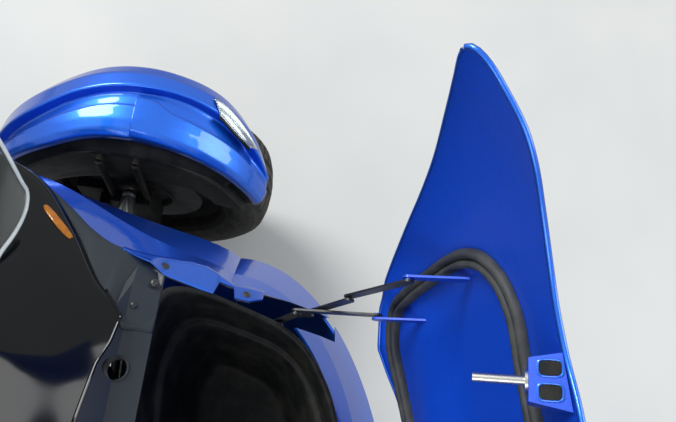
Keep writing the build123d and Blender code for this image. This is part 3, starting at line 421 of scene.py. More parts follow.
def makePiece(name, parts, finish, slotName, body="chassis", replaced=(), wall=0.0, inside=None,
              sharp=38, faceIn=False):
    # Joins the parts. Faces look away from the point inside, or towards it with faceIn; with no
    # such point, closed shells are turned out. The wall, in millimetres, goes on the inner side.
    starts = np.cumsum([0] + [len(p) for p, _ in parts[:-1]])
    mesh = bpy.data.meshes.new(name)
    mesh.from_pydata(toWorld(np.concatenate([p for p, _ in parts])).tolist(), [],
                     np.concatenate([f + s for (_, f), s in zip(parts, starts)]).tolist())
    shape = bmesh.new()
    shape.from_mesh(mesh)
    bmesh.ops.remove_doubles(shape, verts=shape.verts, dist=2e-5)
    bmesh.ops.dissolve_degenerate(shape, edges=shape.edges, dist=1e-6)
    if inside is None:
        bmesh.ops.recalc_face_normals(shape, faces=shape.faces)
    else:
        core = Vector(toWorld(inside))
        outward = sum(f.normal.dot(f.calc_center_median() - core) * f.calc_area()
                      for f in shape.faces)
        if (outward < 0) != faceIn:
            bmesh.ops.reverse_faces(shape, faces=shape.faces)
    shape.to_mesh(mesh)
    shape.free()
    mesh.materials.append(finishes[finish])
    mesh.shade_smooth()
    mesh.set_sharp_from_angle(angle=math.radians(sharp))
    made = placed(name, mesh)
    if wall:
        thick = made.modifiers.new("wall", "SOLIDIFY")
        thick.thickness, thick.offset = wall / 1000, -1
    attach(made, body)
    if replaced:
        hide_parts(*replaced)
    return made


def bothSides(name, parts, finish, slotName, body="chassis", rides="", stands="", inside=None,
              **more):
    # The piece and its mirror image. rides and stands are CAD nodes without their side: the one
    # it moves with and the one it replaces.
    for side, sign in (("left", 1), ("right", -1)):
        makePiece(name + side.title(), [(p * (sign, 1, 1), f[:, ::sign]) for p, f in parts],
                  finish, slotName, bodyOf[rides + side] if rides else body,
                  [stands + side] if stands else (),
                  inside=inside and (sign * inside[0], *inside[1:]), **more)


# Front mudguards: an outer band, a groove and an inner band round the tyre
guardSet = {
    "wheelX": 654, "wheelZ": 284, "wall": 3.6,
    "angle": (30, 40, 52, 75, 97, 116, 136, 154),
    "inner": (-100, -94, -84, -71, -72, -92, -104, -108),
    "outer": (-16, 34, 70, 92, 84, 54, 22, -10),
    "crown": (322, 330, 335, 338, 338, 335, 331, 325),
    "skirt": (22, 40, 52, 62, 62, 52, 40, 26),
    "grooveAngle": (30, 40, 52, 58, 69, 82, 94.5, 107, 118, 136, 154),
    "grooveOuter": (-48, -18, 10, 20, 31, 32, 24, 6, -16, -42, -66),
    "grooveInner": (-72, -52, -30, -23, -12, -5, -9, -31, -55, -76, -92),
    "grooveDepth": 19,
    "stepAngle": 85.6,  # in front of this the inner band stands proud
    "tongue": 15, "tongueFrom": 73, "tongueFull": 81,  # there it also widens by the tongue
    "proudAngle": (30, 66, 80, 85), "proud": (0, 2, 7, 8),
}
hub = (guardSet["wheelX"], 0, guardSet["wheelZ"])


def guardAt(s, angle):
    # each line's own cubic over the angle; the tongue eases in by 3 t^2 - 2 t^3
    inner, outer, crown, skirt = (through(s["angle"], s[k], angle)
                                  for k in ("inner", "outer", "crown", "skirt"))
    grooveOut = through(s["grooveAngle"], s["grooveOuter"], angle)
    grooveIn = through(s["grooveAngle"], s["grooveInner"], angle)
    ease = np.clip((angle - s["tongueFrom"]) / (s["tongueFull"] - s["tongueFrom"]), 0, 1)
    ease = ease * ease * (3 - 2 * ease) * (angle < s["stepAngle"])
    return inner, outer, crown, skirt, grooveOut, grooveIn + s["tongue"] * ease


def roundAxle(s, offset, radius, angle):
    # a point at an offset along the axle, a radius from it and an angle above the forward level
    a = np.radians(angle)
    return np.stack([s["wheelX"] + offset, radius * np.cos(a),
                     s["wheelZ"] + radius * np.sin(a)], -1)


def guardBand(s):
    # rows run round the axle; across, the radius follows inner band, groove, outer band, skirt
    low, high, step = s["angle"][0], s["angle"][-1], s["stepAngle"]
    angle = np.concatenate([np.linspace(low, step - 0.25, 62), [step + 0.25],
                            np.linspace(step + 1.2, high, 66)])
    inner, outer, crown, skirt, go, gi = guardAt(s, angle)
    proud = np.where(angle < step, np.interp(angle, s["proudAngle"], s["proud"]), 0)
    width = outer - inner
    deep = s["grooveDepth"] * np.interp(angle, (low, 40, 150, high), (0.1, 1, 1, 0.6))
    control = rows(
        (inner - 1, crown - 26), (inner, crown - 15 + proud * 0.5),
        (inner + 0.07 * width, crown - 7 + proud), (inner + 0.2 * width, crown - 2 + proud),
        (gi - 3, crown + 0.5 + proud), (gi + 1, crown - deep * 0.9), (go - 2, crown - deep),
        (go + 0.5, crown - 1), (go + 4, crown + 1.5), (inner + 0.82 * width, crown - 5),
        (outer - 3, crown - 22), (outer, crown - skirt))
    cross = rounded(control, (6, 6, 9, 10, 7, 8, 7, 5, 16, 10, 12), 2)
    return roundAxle(s, cross[..., 0], cross[..., 1], angle[:, None])


# Daytime lamp let into each mudguard: a fluted reflector under a clear lens
lampSet = {
    "innerAngle": (45, 53, 59), "innerOffset": (-15, 2.5, 21), "innerAt": (0, 0.55, 1),
    "outerAngle": (41, 51, 58.8, 61.8), "outerOffset": (-10, 31, 51, 52.7),
    "outerAt": (0, 0.45, 0.85, 1), "bulge": 3, "flutes": 9, "slitGap": 3, "slitSize": 3.2,
    "bowl": (0.6, 0.5), "lens": (3, 0),  # how far off the band, how deep the flutes
    "bowlWall": 0.8, "lensWall": 1.6,
}


def lampSide(s, side, u):
    # (angle, offset) along the lamp's inner or outer side
    return through(s[side + "At"], np.stack([s[side + "Angle"], s[side + "Offset"]], -1), u)


def lampPatch(s, g, lift, flute):
    # u from the low tip to the top, v from the inner to the outer side; the radius is the
    # band's own, raised by lift + bulge (4v(1-v))^0.6, with flutes as a small cosine across v
    u, v = np.meshgrid(np.linspace(0, 1, 40), np.linspace(0, 1, 46), indexing="ij")
    side = v[..., None]
    place = lampSide(s, "inner", u) * (1 - side) + lampSide(s, "outer", u) * side
    angle, offset = place[..., 0], place[..., 1]
    inner, outer, crown, skirt, go, gi = guardAt(g, angle)
    fall = inner + 0.82 * (outer - inner)
    radius = (crown + 1 - 7 * np.clip((offset - go - 4) / (fall - go - 4), 0, 1) ** 1.5
              - 15 * np.clip((offset - fall) / (outer - 3 - fall), 0, 1) ** 2)
    radius = (radius + lift + s["bulge"] * (4 * v * (1 - v)) ** 0.6
              + flute * np.cos(v * s["flutes"] * 2 * math.pi))
    return roundAxle(g, offset, radius, angle)


def lampSlitShade(s, g):
    # the shut line beside the lamp is a groove in shade: a narrow black ribbon along its inner
    # side paints that shade
    line = lampSide(s, "inner", np.linspace(0, 1, 30))
    crown = through(g["angle"], g["crown"], line[:, 0])
    path = roundAxle(g, line[:, 1] - s["slitGap"], crown + 1.0, line[:, 0])
    return sweep(path, ring(s["slitSize"], 10, 0.55), (0, 0, 1))


bothSides("guardShell", [asPart(guardBand(guardSet))], "metallicBluePaint", "blue_paint",
          rides="knuckle_", stands="front_guard_", inside=hub, wall=guardSet["wall"])
bothSides("lampReflector", [asPart(lampPatch(lampSet, guardSet, *lampSet["bowl"]))],
          "silveredGlass", "clear_plastic", rides="knuckle_", inside=hub, wall=lampSet["bowlWall"])
bothSides("lampLens", [asPart(lampPatch(lampSet, guardSet, *lampSet["lens"]))],
          "clearPolycarbonate", "clear_plastic", rides="knuckle_", stands="guard_lamp_",
          inside=hub, wall=lampSet["lensWall"])
# a black ribbon of painted shade where the groove beside each lamp lies
bothSides("lampGapShade", [lampSlitShade(lampSet, guardSet)], "polishedAbs", "black_plastic",
          rides="knuckle_")
print("mudguards made")

# Tyres: a turned outline whose radius is cut by the tread pattern
tyreSet = {
    "front": {"radius": 284, "width": 165, "rim": 178, "rimWidth": 140, "pitches": 68},
    "rear": {"radius": 303, "width": 225, "rim": 190, "rimWidth": 190, "pitches": 72},
    "steps": 544, "grooveDepth": 6.5, "grooveHalf": 4.5, "grooveAt": 0.38, "rib": 0.8,
    "slant": 0.9, "stagger": 0.35, "slotFrom": 0.42, "slotTo": 1.16, "slotEdge": 0.06,
    "slotGate": 0.72, "slotSoft": 0.16, "treadDeep": 22, "shoulder": 0.8, "wheelbase": 1727,
    "ribHalf": 2.2, "ribUpper": 16, "ribLower": 26,  # two raised rings on each sidewall
}


def tyrePiece(name, kind, centre, node):
    # An outline from bead over crown to bead, turned. Depth is taken out where a straight groove
    # or a slanted slot passes: pulses of the offset, and of the angle times the pitches.
    s = {**tyreSet, **tyreSet[kind]}
    half, shoulder = s["width"] / 2, s["shoulder"] * s["width"] / 2
    bead, r, rim = s["rimWidth"] / 2 - 12, s["radius"], s["rim"]
    middle = (r + rim) / 2 + 6
    flank = [(bead, rim + 6), (bead, rim + 18), (half - 1.5, (middle + rim + 18) / 2 + 3),
             (half, middle + 4), (half - 4, r - 30), (shoulder + 3, r - 13),
             (shoulder * 0.6, r - 4.2)]
    counts = (3, 6, 5, 5, 5, 9, 12)
    outline = rounded([(-x, z) for x, z in flank] + [(0, r)] + flank[::-1],
                      counts + counts[::-1], 3)
    a = roundAngles(s["steps"])[:, None]
    x, radius = outline[None, :, 0], outline[None, :, 1]
    share = np.abs(x) / shoulder

    def groove(away):
        # the square root of 1 - |away| / half width
        return np.clip(1 - np.abs(away) / s["grooveHalf"], 0, 1) ** 0.5

    turn = a * s["pitches"] / (2 * math.pi)
    saw = np.abs((turn + s["stagger"] * np.sign(x) + s["slant"] * share) % 1 - 0.5) * 2
    slots = (np.clip((saw - s["slotGate"]) / s["slotSoft"], 0, 1)
             * np.clip((share - s["slotFrom"]) / s["slotEdge"], 0, 1)
             * np.clip((s["slotTo"] - share) / s["slotEdge"], 0, 1))
    straights = groove(x) + groove(np.abs(x) - s["grooveAt"] * shoulder)
    depth = s["grooveDepth"] * np.clip(np.maximum(slots, straights), 0, 1)
    depth = depth * (radius > r - s["treadDeep"])
    ribs = s["rib"] * sum(np.abs(radius - at) < s["ribHalf"]
                          for at in (middle + s["ribUpper"], rim + s["ribLower"]))
    radius = radius - depth
    grid = np.stack([np.broadcast_to(x + np.sign(x) * ribs, radius.shape),
                     radius * np.cos(a), radius * np.sin(a)], -1)
    makePiece(name, [asPart(grid + centre, True, True)], "tyreRubber", "tyre_rubber",
              bodyOf[node], [node], sharp=50)


tyrePiece("frontTyreLeft", "front", hub, "front_tyre_left")
tyrePiece("frontTyreRight", "front", (-hub[0], *hub[1:]), "front_tyre_right")
tyrePiece("rearTyre", "rear", (0, -tyreSet["wheelbase"], tyreSet["rear"]["radius"]), "rear_tyre")
print("tyres made")

# Lid: closed-place dome, then turned and shifted to where it stands open
lidSet = {
    "station": (-60, 60, 150, 250, 360, 440, 520, 550),
    "edge": (735, 703, 682, 655, 625, 600, 590, 586),
    "crown": (884, 870, 842, 802, 750, 694, 666, 655),
    # where the crown's curve would reach the edge height, and the stations for it
    "halfAt": (-60, 0, 40, 98, 165, 233, 300, 365, 415, 458, 494, 520, 550),
    "half": (453.5, 452.1, 450.8, 444.4, 431, 412.9, 392.3, 369.5, 347.2, 318.6, 273.5, 222, 175),
    "border": ((0, 96), (119, 98), (190, 107), (237, 99), (283, 76), (321, 46), (350, 14),
               (374, -9), (411, -30), (442, -50), (451, -54), (451.5, -44), (449, 0), (446, 40),
               (438, 98), (424, 165), (407, 233), (389, 300), (368, 365), (346, 415), (318, 458),
               (272, 496), (220, 516), (130, 531), (0, 538)),
    "softening": 8, "wall": 3.6, "rimRadius": 3.6, "rimDrop": 1.6,
    "turn": 73, "closedAt": (400, 600), "openAt": (489, 739), "inside": (0, 250, 300),
}


def opened(p):
    # turn about X by the lid's angle round the closed reference, then move to the open one
    s, a = lidSet, math.radians(lidSet["turn"])
    back, rise = s["closedAt"][0] - p[..., 1], p[..., 2] - s["closedAt"][1]
    y = back * math.cos(a) - rise * math.sin(a)
    z = back * math.sin(a) + rise * math.cos(a)
    return np.stack([p[..., 0], s["openAt"][0] - y, s["openAt"][1] + z], -1)


def lidHeight(x, f, depth=0.0):
    # edge + (crown - edge) (1 - |x / half|^2.4)^0.72, taken this far in from the outer face
    s = lidSet
    half = through(s["halfAt"], s["half"], f)
    edge, crown = (through(s["station"], s[k], f) for k in ("edge", "crown"))
    t = np.clip(np.abs(x) / (half - depth), 0, 1)
    return edge - depth + (crown - edge) * (1 - t ** 2.4) ** 0.72


def lidOutline(s):
    # the left half of the border, from the rear middle round the tip to the front middle
    line = smoothPath(s["border"], 400)
    for _ in range(s["softening"]):
        soften(line)
    return line


def lidGrid(s):
    # u crosses from tip to tip, closer together at the tips; rows run from the rear line to the
    # front line at that x
    outline = lidOutline(s)
    tip = int(np.argmax(outline[:, 0]))
    u = np.linspace(-1, 1, 201)
    x = outline[tip, 0] * np.sign(u) * (1 - (1 - np.abs(u)) ** 2)
    rear = np.interp(np.abs(x), outline[:tip + 1, 0], outline[:tip + 1, 1])
    front = np.interp(np.abs(x), outline[tip:, 0][::-1], outline[tip:, 1][::-1])
    f = rear[:, None] + (front - rear)[:, None] * np.linspace(0, 1, 91)
    x = np.broadcast_to(x[:, None], f.shape)
    return np.stack([x, f, lidHeight(x, f)], -1)


def bothHalves(line):
    # closes a left half line with its mirror image
    return np.concatenate([line, line[-2:0:-1] * (-1, 1)])


# lacquered outside; the wall's inner side takes the second finish
lid = makePiece("lidPanel", [asPart(opened(lidGrid(lidSet)))], "metallicBluePaint", "blue_paint",
                "lid", ["lid_panel"], lidSet["wall"], opened(np.array(lidSet["inside"], float)))
lid.data.materials.append(finishes["innerBluePaint"])
lid.modifiers["wall"].material_offset = 1

# a rolled bead round the lid's border catches the light along its edge
border = bothHalves(lidOutline(lidSet)[::2])
beadHeight = lidHeight(border[:, 0], border[:, 1]) - lidSet["rimDrop"]
bead = opened(np.concatenate([border, beadHeight[:, None]], -1))
makePiece("lidRim", [sweep(bead, ring(lidSet["rimRadius"], 10), (0, 0.2, 1), closed=True)],
          "metallicBluePaint", "blue_paint", "lid")

# Seal: two ribs side by side on a low base, run round the lid's underside
sealSet = {
    "line": ((0, 182), (100, 184), (182, 190), (246, 180), (286, 186), (312, 204), (326, 236),
             (329, 272), (327, 325), (318, 392), (297, 447), (255, 486), (198, 504), (110, 514),
             (0, 517)),
    "profile": ((-13, 0), (-13, 3), (-11.5, 9), (-8, 12.5), (-4.5, 12.5), (-1.5, 9), (0, 5.5),
                (1.5, 9), (4.5, 11.5), (8, 11.5), (11.5, 8), (13, 3), (13, 0)),
    "depth": 4, "step": 2,
}


def sealPart(s):
    # the profile swept along the line under the dome; down = (slope over x, slope over f, -1)
    line, step, depth = bothHalves(smoothPath(s["line"], 190)), s["step"], s["depth"]
    x, f = line[:, 0], line[:, 1]
    path = np.stack([x, f, lidHeight(x, f, depth)], -1)
    slopeX = (lidHeight(x + step, f, depth) - lidHeight(x - step, f, depth)) / (2 * step)
    slopeF = (lidHeight(x, f + step, depth) - lidHeight(x, f - step, depth)) / (2 * step)
    down = unit(np.stack([slopeX, slopeF, -np.ones_like(slopeX)], -1))
    points, faces = sweep(path, s["profile"], down, closed=True)
    return opened(points), faces


makePiece("lidSeal", [sealPart(sealSet)], "epdmSeal", "seal_rubber", "lid", ["lid_seal"],
          sharp=60)
print("lid made")

# Inner guard: a black apron beside the tyre, hung from the mudguard's inner edge
apronSet = {
    "angle": (46, 70, 98, 126, 150), "depth": (126, 150, 158, 150, 126),
    "offset": -89.5, "wall": 2.2,
}


def apronGrid(s, g):
    # rows round the axle; across, from the mudguard's inner edge down by a depth of the angle
    angle = np.linspace(s["angle"][0], s["angle"][-1], 60)
    inner, outer, crown, skirt, go, gi = guardAt(g, angle)
    control = rows(
        (inner + 6, crown - 20), (inner + 1, crown - 34),
        (np.minimum(inner - 8, s["offset"] - 2), crown - 52), (s["offset"], crown - 90),
        (s["offset"], crown - through(s["angle"], s["depth"], angle)))
    cross = rounded(control, (4, 6, 8, 8), 2)
    return roundAxle(g, cross[..., 0], cross[..., 1], angle[:, None])


bothSides("guardApron", [asPart(apronGrid(apronSet, guardSet))], "grainedPolypropylene",
          "black_plastic", rides="knuckle_", inside=hub, wall=apronSet["wall"])

# Brake disc, hat and studs on each front wheel: (along the axle, radius) from the hub
discSet = {
    "profile": ((-46, 0), (-46, 58), (-58, 62), (-58, 66), (-52, 66), (-52, 128), (-47, 129),
                (-47, 66), (-42, 66), (-42, 60), (-40, 0)),
    "stud": ((-40, 0), (-40, 8.5), (-34, 8.5), (-33, 7), (-28, 6), (-26, 0)),
    "studCount": 5, "studCircle": 46, "studOut": 40,
}


def discParts(s):
    # the disc, and six-sided studs at even steps round it
    studs = [(hub[0] + s["studOut"], s["studCircle"] * math.cos(t),
              hub[2] + s["studCircle"] * math.sin(t)) for t in roundAngles(s["studCount"])]
    return [turnedPart(s["profile"], hub, (1, 0, 0), 72)] + [
        turnedPart(s["stud"], centre, (1, 0, 0), 6) for centre in studs]


bothSides("brakeDisc", discParts(discSet), "sandCasting", "cast_aluminium",
          rides="front_rim_", sharp=30)
print("inner guards and discs made")

# Storage tub: rim lip, wall, ledge, lower wall and floor as one moulding
tubSet = {
    "corners": ((0, 160), (262, 160), (277, 170), (286, 196), (285, 226), (277, 264), (268, 300),
                (256, 340), (233, 379), (183, 419), (108, 450), (0, 464)),
    "middle": 312, "reach": 152, "width": 286, "rimHeight": 742, "rimFall": 0.288,
    "rimAt": 160, "wall": 3, "inside": (0, 312, 640),
    # how far in from the outline, height above the rim, points to the next
    "upper": ((-7, -16, 3), (-8, -3, 3), (-5, 1.5, 4), (1, 1.5, 4), (4, -3, 8)),
    # the same with heights above the ground
    "lower": ((11.5, 614, 4), (14, 605, 5), (23, 604.2, 4), (27, 598, 8), (43, 520, 8),
              (59, 446, 5), (68, 435.5, 3), (80, 434.6, 8), (140, 434.4, 0)),
}


def tubGrid(s):
    # the outline drawn in toward its middle by an inset that grows from lip to floor
    line = smoothPath(bothHalves(np.array(s["corners"], float)), 240, closed=True)
    insets, heights, counts = np.array(s["upper"] + s["lower"], float).T
    x = line[:, :1] * (1 - insets / s["width"])
    f = s["middle"] + (line[:, 1:] - s["middle"]) * (1 - insets / s["reach"])
    rim = s["rimHeight"] - s["rimFall"] * (f - s["rimAt"])
    z = heights + rim * (np.arange(len(heights)) < len(s["upper"]))
    grid = rounded(np.stack([x, f, z], -1), counts[:-1].astype(int), 3)
    floorMiddle = np.broadcast_to([0, s["middle"], heights[-1]], grid[:, :1].shape)
    return np.concatenate([grid, floorMiddle], 1)


makePiece("storageTub", [asPart(tubGrid(tubSet), True)], "grainedPolypropylene", "black_plastic",
          "chassis", ["storage_tub"], tubSet["wall"], tubSet["inside"], 45, True)
print("tub made")

# Cowl: smooth black cover whose front edge follows a swept line, with a rolled lip under it
cowlSet = {
    "station": (-260, -160, -60, 20, 84, 118),
    "across": (((0, 985), (180, 962), (350, 868), (430, 828), (390, 822)),
               ((0, 985), (190, 960), (376, 850), (468, 788), (414, 771.2)),
               ((0, 950), (180, 922), (312, 828), (432, 765), (434, 754)),
               ((0, 890), (150, 870), (276, 816), (346, 778), (354, 764)),
               ((0, 829), (130, 820), (220, 802), (262, 786), (268, 768)),
               ((0, 799), (120, 796), (215, 788), (240, 780), (246, 768))),
    "frontX": (0, 81, 158, 190, 226, 268, 372, 380, 411, 450, 490),
    "frontF": (92, 95, 103, 113, 118, 84, 2, -32, -42, -66, -100),
    "wall": 3, "lip": 15, "rear": -258, "inside": (0, -160, 500),
    "trimRadius": 2.2, "trimShift": (0, 1.5, -1),
}


def columnsAt(stations, lines, at):
    # each column's own cubic between the stations, read where its row of at says
    return np.stack([through(stations, lines[:, j], at[..., j]) for j in range(at.shape[-1])], -2)


def mirrored(half):
    # rows from the middle out to the left, joined to their mirror images
    return np.concatenate([half[:, :0:-1] * (-1, 1, 1), half], 1)


def cowlGrid(s):
    # v follows each station's half line; u runs back from the front edge, whose distance ahead
    # is found by repeating f = front(x(v, f))
    lines = rounded(s["across"], (16, 14, 14, 6), 5)
    front = np.full(lines.shape[1], 60.0)
    for _ in range(60):
        x = columnsAt(s["station"], lines, front)[:, 0]
        front = 0.6 * front + 0.4 * np.interp(x, s["frontX"], s["frontF"])
    u = np.linspace(0, 1, 70)[:, None] ** 1.3
    f = front + (s["rear"] - front) * u
    p = columnsAt(s["station"], lines, f)
    grid = np.stack([p[..., 0], f, p[..., 1]], -1)
    # the lip: the front row turned down and a little back
    return mirrored(np.concatenate([grid[:1] + (0, -3, -s["lip"]), grid[:1] + (0, 0.8, -2), grid]))


cowlRows = cowlGrid(cowlSet)
makePiece("cowlCover", [asPart(cowlRows)], "polishedAbs", "gloss_black", "chassis", ["cowl"],
          cowlSet["wall"], cowlSet["inside"])
makePiece("cowlTrim", [sweep(cowlRows[2] + cowlSet["trimShift"],
                             ring(cowlSet["trimRadius"], 8), (0, 0.2, 1))],
          "polishedAbs", "gloss_black")

# Windshield: bowed sections by height; half widths and distances ahead of its outer face
shieldSet = {
    "height": (780, 850, 960, 1110),
    "across": (((0, 60), (130, 48), (262, 10), (345, -16)),
               ((0, 14), (135, 2), (268, -30), (373, -28)),
               ((0, -52), (150, -62), (300, -92), (440, -84)),
               ((0, -170), (150, -180), (290, -206), (410, -232))),
    # the lower edge's height, from the middle out, lies just over the cowl
    "lowAt": (0, 0.35, 0.6, 0.8, 0.93, 1), "low": (905, 890, 868, 846, 838, 842),
    "wall": 3.4, "inside": (0, -400, 900), "edgeRadius": 3.4,
}


def shieldGrid(s):
    # v follows the half line, smoothed; each height is a cubic between the four given ones
    lines = rounded(s["across"], (16, 16, 16), 8)
    low = np.interp(np.linspace(0, 1, lines.shape[1]), s["lowAt"], s["low"])
    z = low + (s["height"][-1] - low) * np.linspace(0, 1, 60)[:, None]
    p = columnsAt(s["height"], lines, z)
    return mirrored(np.concatenate([p, z[..., None]], -1))


shieldRows = shieldGrid(shieldSet)
makePiece("windshieldPane", [asPart(shieldRows)], "clearPolycarbonate", "clear_plastic",
          "chassis", ["windshield"], shieldSet["wall"], shieldSet["inside"])
shieldBorder = np.concatenate([shieldRows[:, 0], shieldRows[-1, 1:-1], shieldRows[::-1, -1],
                               shieldRows[0, -2:0:-1]])
shieldLine = smoothPath(shieldBorder[::3], 420, closed=True) + (0, -shieldSet["wall"] / 2, 0)
# the pane's border bead: its pale finish paints the glow of light piped out through the edge
makePiece("windshieldEdge", [sweep(shieldLine, ring(shieldSet["edgeRadius"], 8), (0.02, 1, 0.3),
                                   closed=True)],
          "edgeGlowPaint", "clear_plastic")
print("cowl and windshield made")

# Flange inside each side panel's top edge, and the deck's wing behind it
flangeSet = {
    "station": (92, 110, 137, 159, 187, 215, 235, 240, 262, 267, 290, 310),
    "innerX": (334, 326, 318, 303, 297, 291, 288, 312, 308, 288, 287, 296),
    "innerZ": (746, 748, 750, 745, 737, 729, 724, 703, 694, 711, 702, 686),
    "outerX": (337, 334, 333.5, 335, 337, 335.5, 327, 323.5, 313, 313, 313, 313),
    "outerZ": (743.6, 739, 729.5, 720.5, 708.5, 699, 696.5, 696.5, 691, 689, 680.5, 669.5),
    "wall": 2, "inside": (330, 215, 500),
}
wingSet = {
    "station": (-40, 0, 40, 84, 100, 118, 140, 161),
    "outerX": (418, 390, 359, 337, 334, 332, 326, 312),
    "outerZ": (751, 751, 751, 747, 743.5, 737, 730, 738),
    "innerX": (350, 335, 290, 228, 240, 215, 215, 215),
    "innerZ": (762, 764, 770, 785, 778, 763, 752.5, 745.5),
    "wall": 2.4, "inside": (300, 60, 400),
}
edgeNames = ("innerX", "innerZ", "outerX", "outerZ")


def flangeGrid(s):
    # down lip, inner edge, flat, outer edge, then down under the panel; rows run along f
    f = np.unique(np.concatenate([np.linspace(92, 310, 90), s["station"]]))
    ix, iz, ox, oz = (np.interp(f, s["station"], s[k]) for k in edgeNames)
    control = rows((ix + 3, f, iz - 24), (ix, f, iz - 2), (ix + 2, f, iz),
                   ((ix + ox) / 2, f, (iz + oz) / 2 + 1.5), (ox, f, oz + 1.2),
                   (ox + 4, f, oz - 4.5))
    return rounded(control, (4, 3, 7, 7, 5), 1)


def wingGrid(s):
    # inner edge, outer edge, then down; rows run along f, each edge a cubic between stations
    f = np.linspace(-40, 161, 60)
    ix, iz, ox, oz = (through(s["station"], s[k], f) for k in edgeNames)
    control = rows((ix, f, iz), (ox, f, oz + 1.5), (ox + 3, f, oz - 4), (ox + 3, f, oz - 20))
    return rounded(control, (14, 3, 4), 1)


bothSides("sideFlange", [asPart(flangeGrid(flangeSet))], "metallicBluePaint", "blue_paint",
          inside=flangeSet["inside"], wall=flangeSet["wall"], sharp=30)
bothSides("deckWing", [asPart(wingGrid(wingSet))], "satinAbs", "black_plastic",
          inside=wingSet["inside"], wall=wingSet["wall"], sharp=30)

# Fasteners: where each head sits, its radius and which way it leans
headSet = {
    # (along, radius) of a push rivet's shallow dome with a sunken middle, radius as a share
    "profile": ((0, 1), (1.2, 1), (2.4, 0.75), (2.8, 0.45), (2, 0.38), (1.8, 0)),
    "flangeRivets": (((319, 156, 734), 7.5, (0.65, 0.2, 1)),
                     ((300, 284, 694.5), 6.5, (0.7, 0.4, 1))),
    "deckScrews": (((288, 150, 750), 6, (0.1, 0.25, 1)), ((250, 128, 756.5), 5, (0, 0.3, 1))),
}

for name in ("flangeRivets", "deckScrews"):
    heads = [turnedPart(np.array(headSet["profile"]) * (1, radius), place, lean, 20)
             for place, radius, lean in headSet[name]]
    bothSides(name, heads, "powderCoatedSteel", "black_plastic")

# Side marker: a long amber lens sunk in the cowl's corner
markerSet = {
    "line": ((377, -24, 780), (355, -1, 784.5), (331, 26, 784)), "steps": 24,
    "size": 6.5, "flat": 0.42, "around": 16, "tip": 0.03,
}


def markerPart(s):
    # an oval section along the path, its size sqrt(1 - |t|^3) from tip to tip
    path = smoothPath(s["line"], s["steps"])
    points, faces = sweep(path, ring(s["size"], s["around"], s["flat"]), (0.3, 0.5, 0.8))
    core = path[np.r_[0, 0:len(path), len(path) - 1]][:, None]
    size = np.sqrt(1 - np.abs(np.linspace(-1, 1, len(core))) ** 3) * (1 - s["tip"]) + s["tip"]
    points = core + (points.reshape(len(core), -1, 3) - core) * size[:, None, None]
    return points.reshape(-1, 3), faces


bothSides("sideMarker", [markerPart(markerSet)], "amberAcrylic", "red_lens")
print("flanges, deck and fasteners made")

# Seats: vinyl over foam, swollen by an inside pressure, then sewn with cross channels and a welt
seatSet = {
    "merge": 1e-5, "voxel": 0.006, "soften": (0.5, 14), "shrink": 0.006,
    "pressure": 4, "quality": 6, "frames": 20, "cap": 0.010,
    "seamDepth": 0.005, "seamWidth": 5.5, "seamBow": 14, "seamFade": 6, "topStep": 12,
    "topFrom": 0.35, "sideTo": 0.75, "turnOver": 0.3,  # by the normal's upward share
    "welt": 26,
    "rider_seat": {"fill": 0.75, "along": 118, "cross": (-800, -850, -900, -950, -1000)},
    "passenger_seat": {
        "fill": 0.8, "along": 100, "cross": (-1160, -1210, -1260, -1310, -1355)},
}


def vertexValues(mesh, kind):
    # the vertices' places or normals as one array
    values = np.empty(len(mesh.vertices) * 3)
    mesh.vertices.foreach_get(kind, values)
    return values.reshape(-1, 3)


def putPoints(mesh, points):
    # gives the vertices their new places
    mesh.vertices.foreach_set("co", points.ravel())
    mesh.update()


def applied(made):
    # the mesh with its modifiers worked in, and none left on the piece
    graph = bpy.context.evaluated_depsgraph_get()
    mesh = bpy.data.meshes.new_from_object(made.evaluated_get(graph))
    made.modifiers.clear()
    made.data = mesh
    return mesh


def swell(made, s):
    # frames of cloth under an inside pressure; a point moves no further than the cap
    rest = vertexValues(made.data, "co")
    cloth = made.modifiers.new("pressure", "CLOTH")
    cloth.settings.use_pressure = True
    cloth.settings.uniform_pressure_force = s["pressure"]
    cloth.settings.effector_weights.gravity = 0.0
    cloth.settings.quality = s["quality"]
    cloth.point_cache.frame_start, cloth.point_cache.frame_end = 1, s["frames"]
    for step in range(1, s["frames"] + 1):
        bpy.context.scene.frame_set(step)
    move = vertexValues(applied(made), "co") - rest
    far = np.linalg.norm(move, axis=1, keepdims=True)
    putPoints(made.data, rest + move * np.minimum(1.0, s["cap"] / np.maximum(far, 1e-9)))
    bpy.context.scene.frame_set(1)


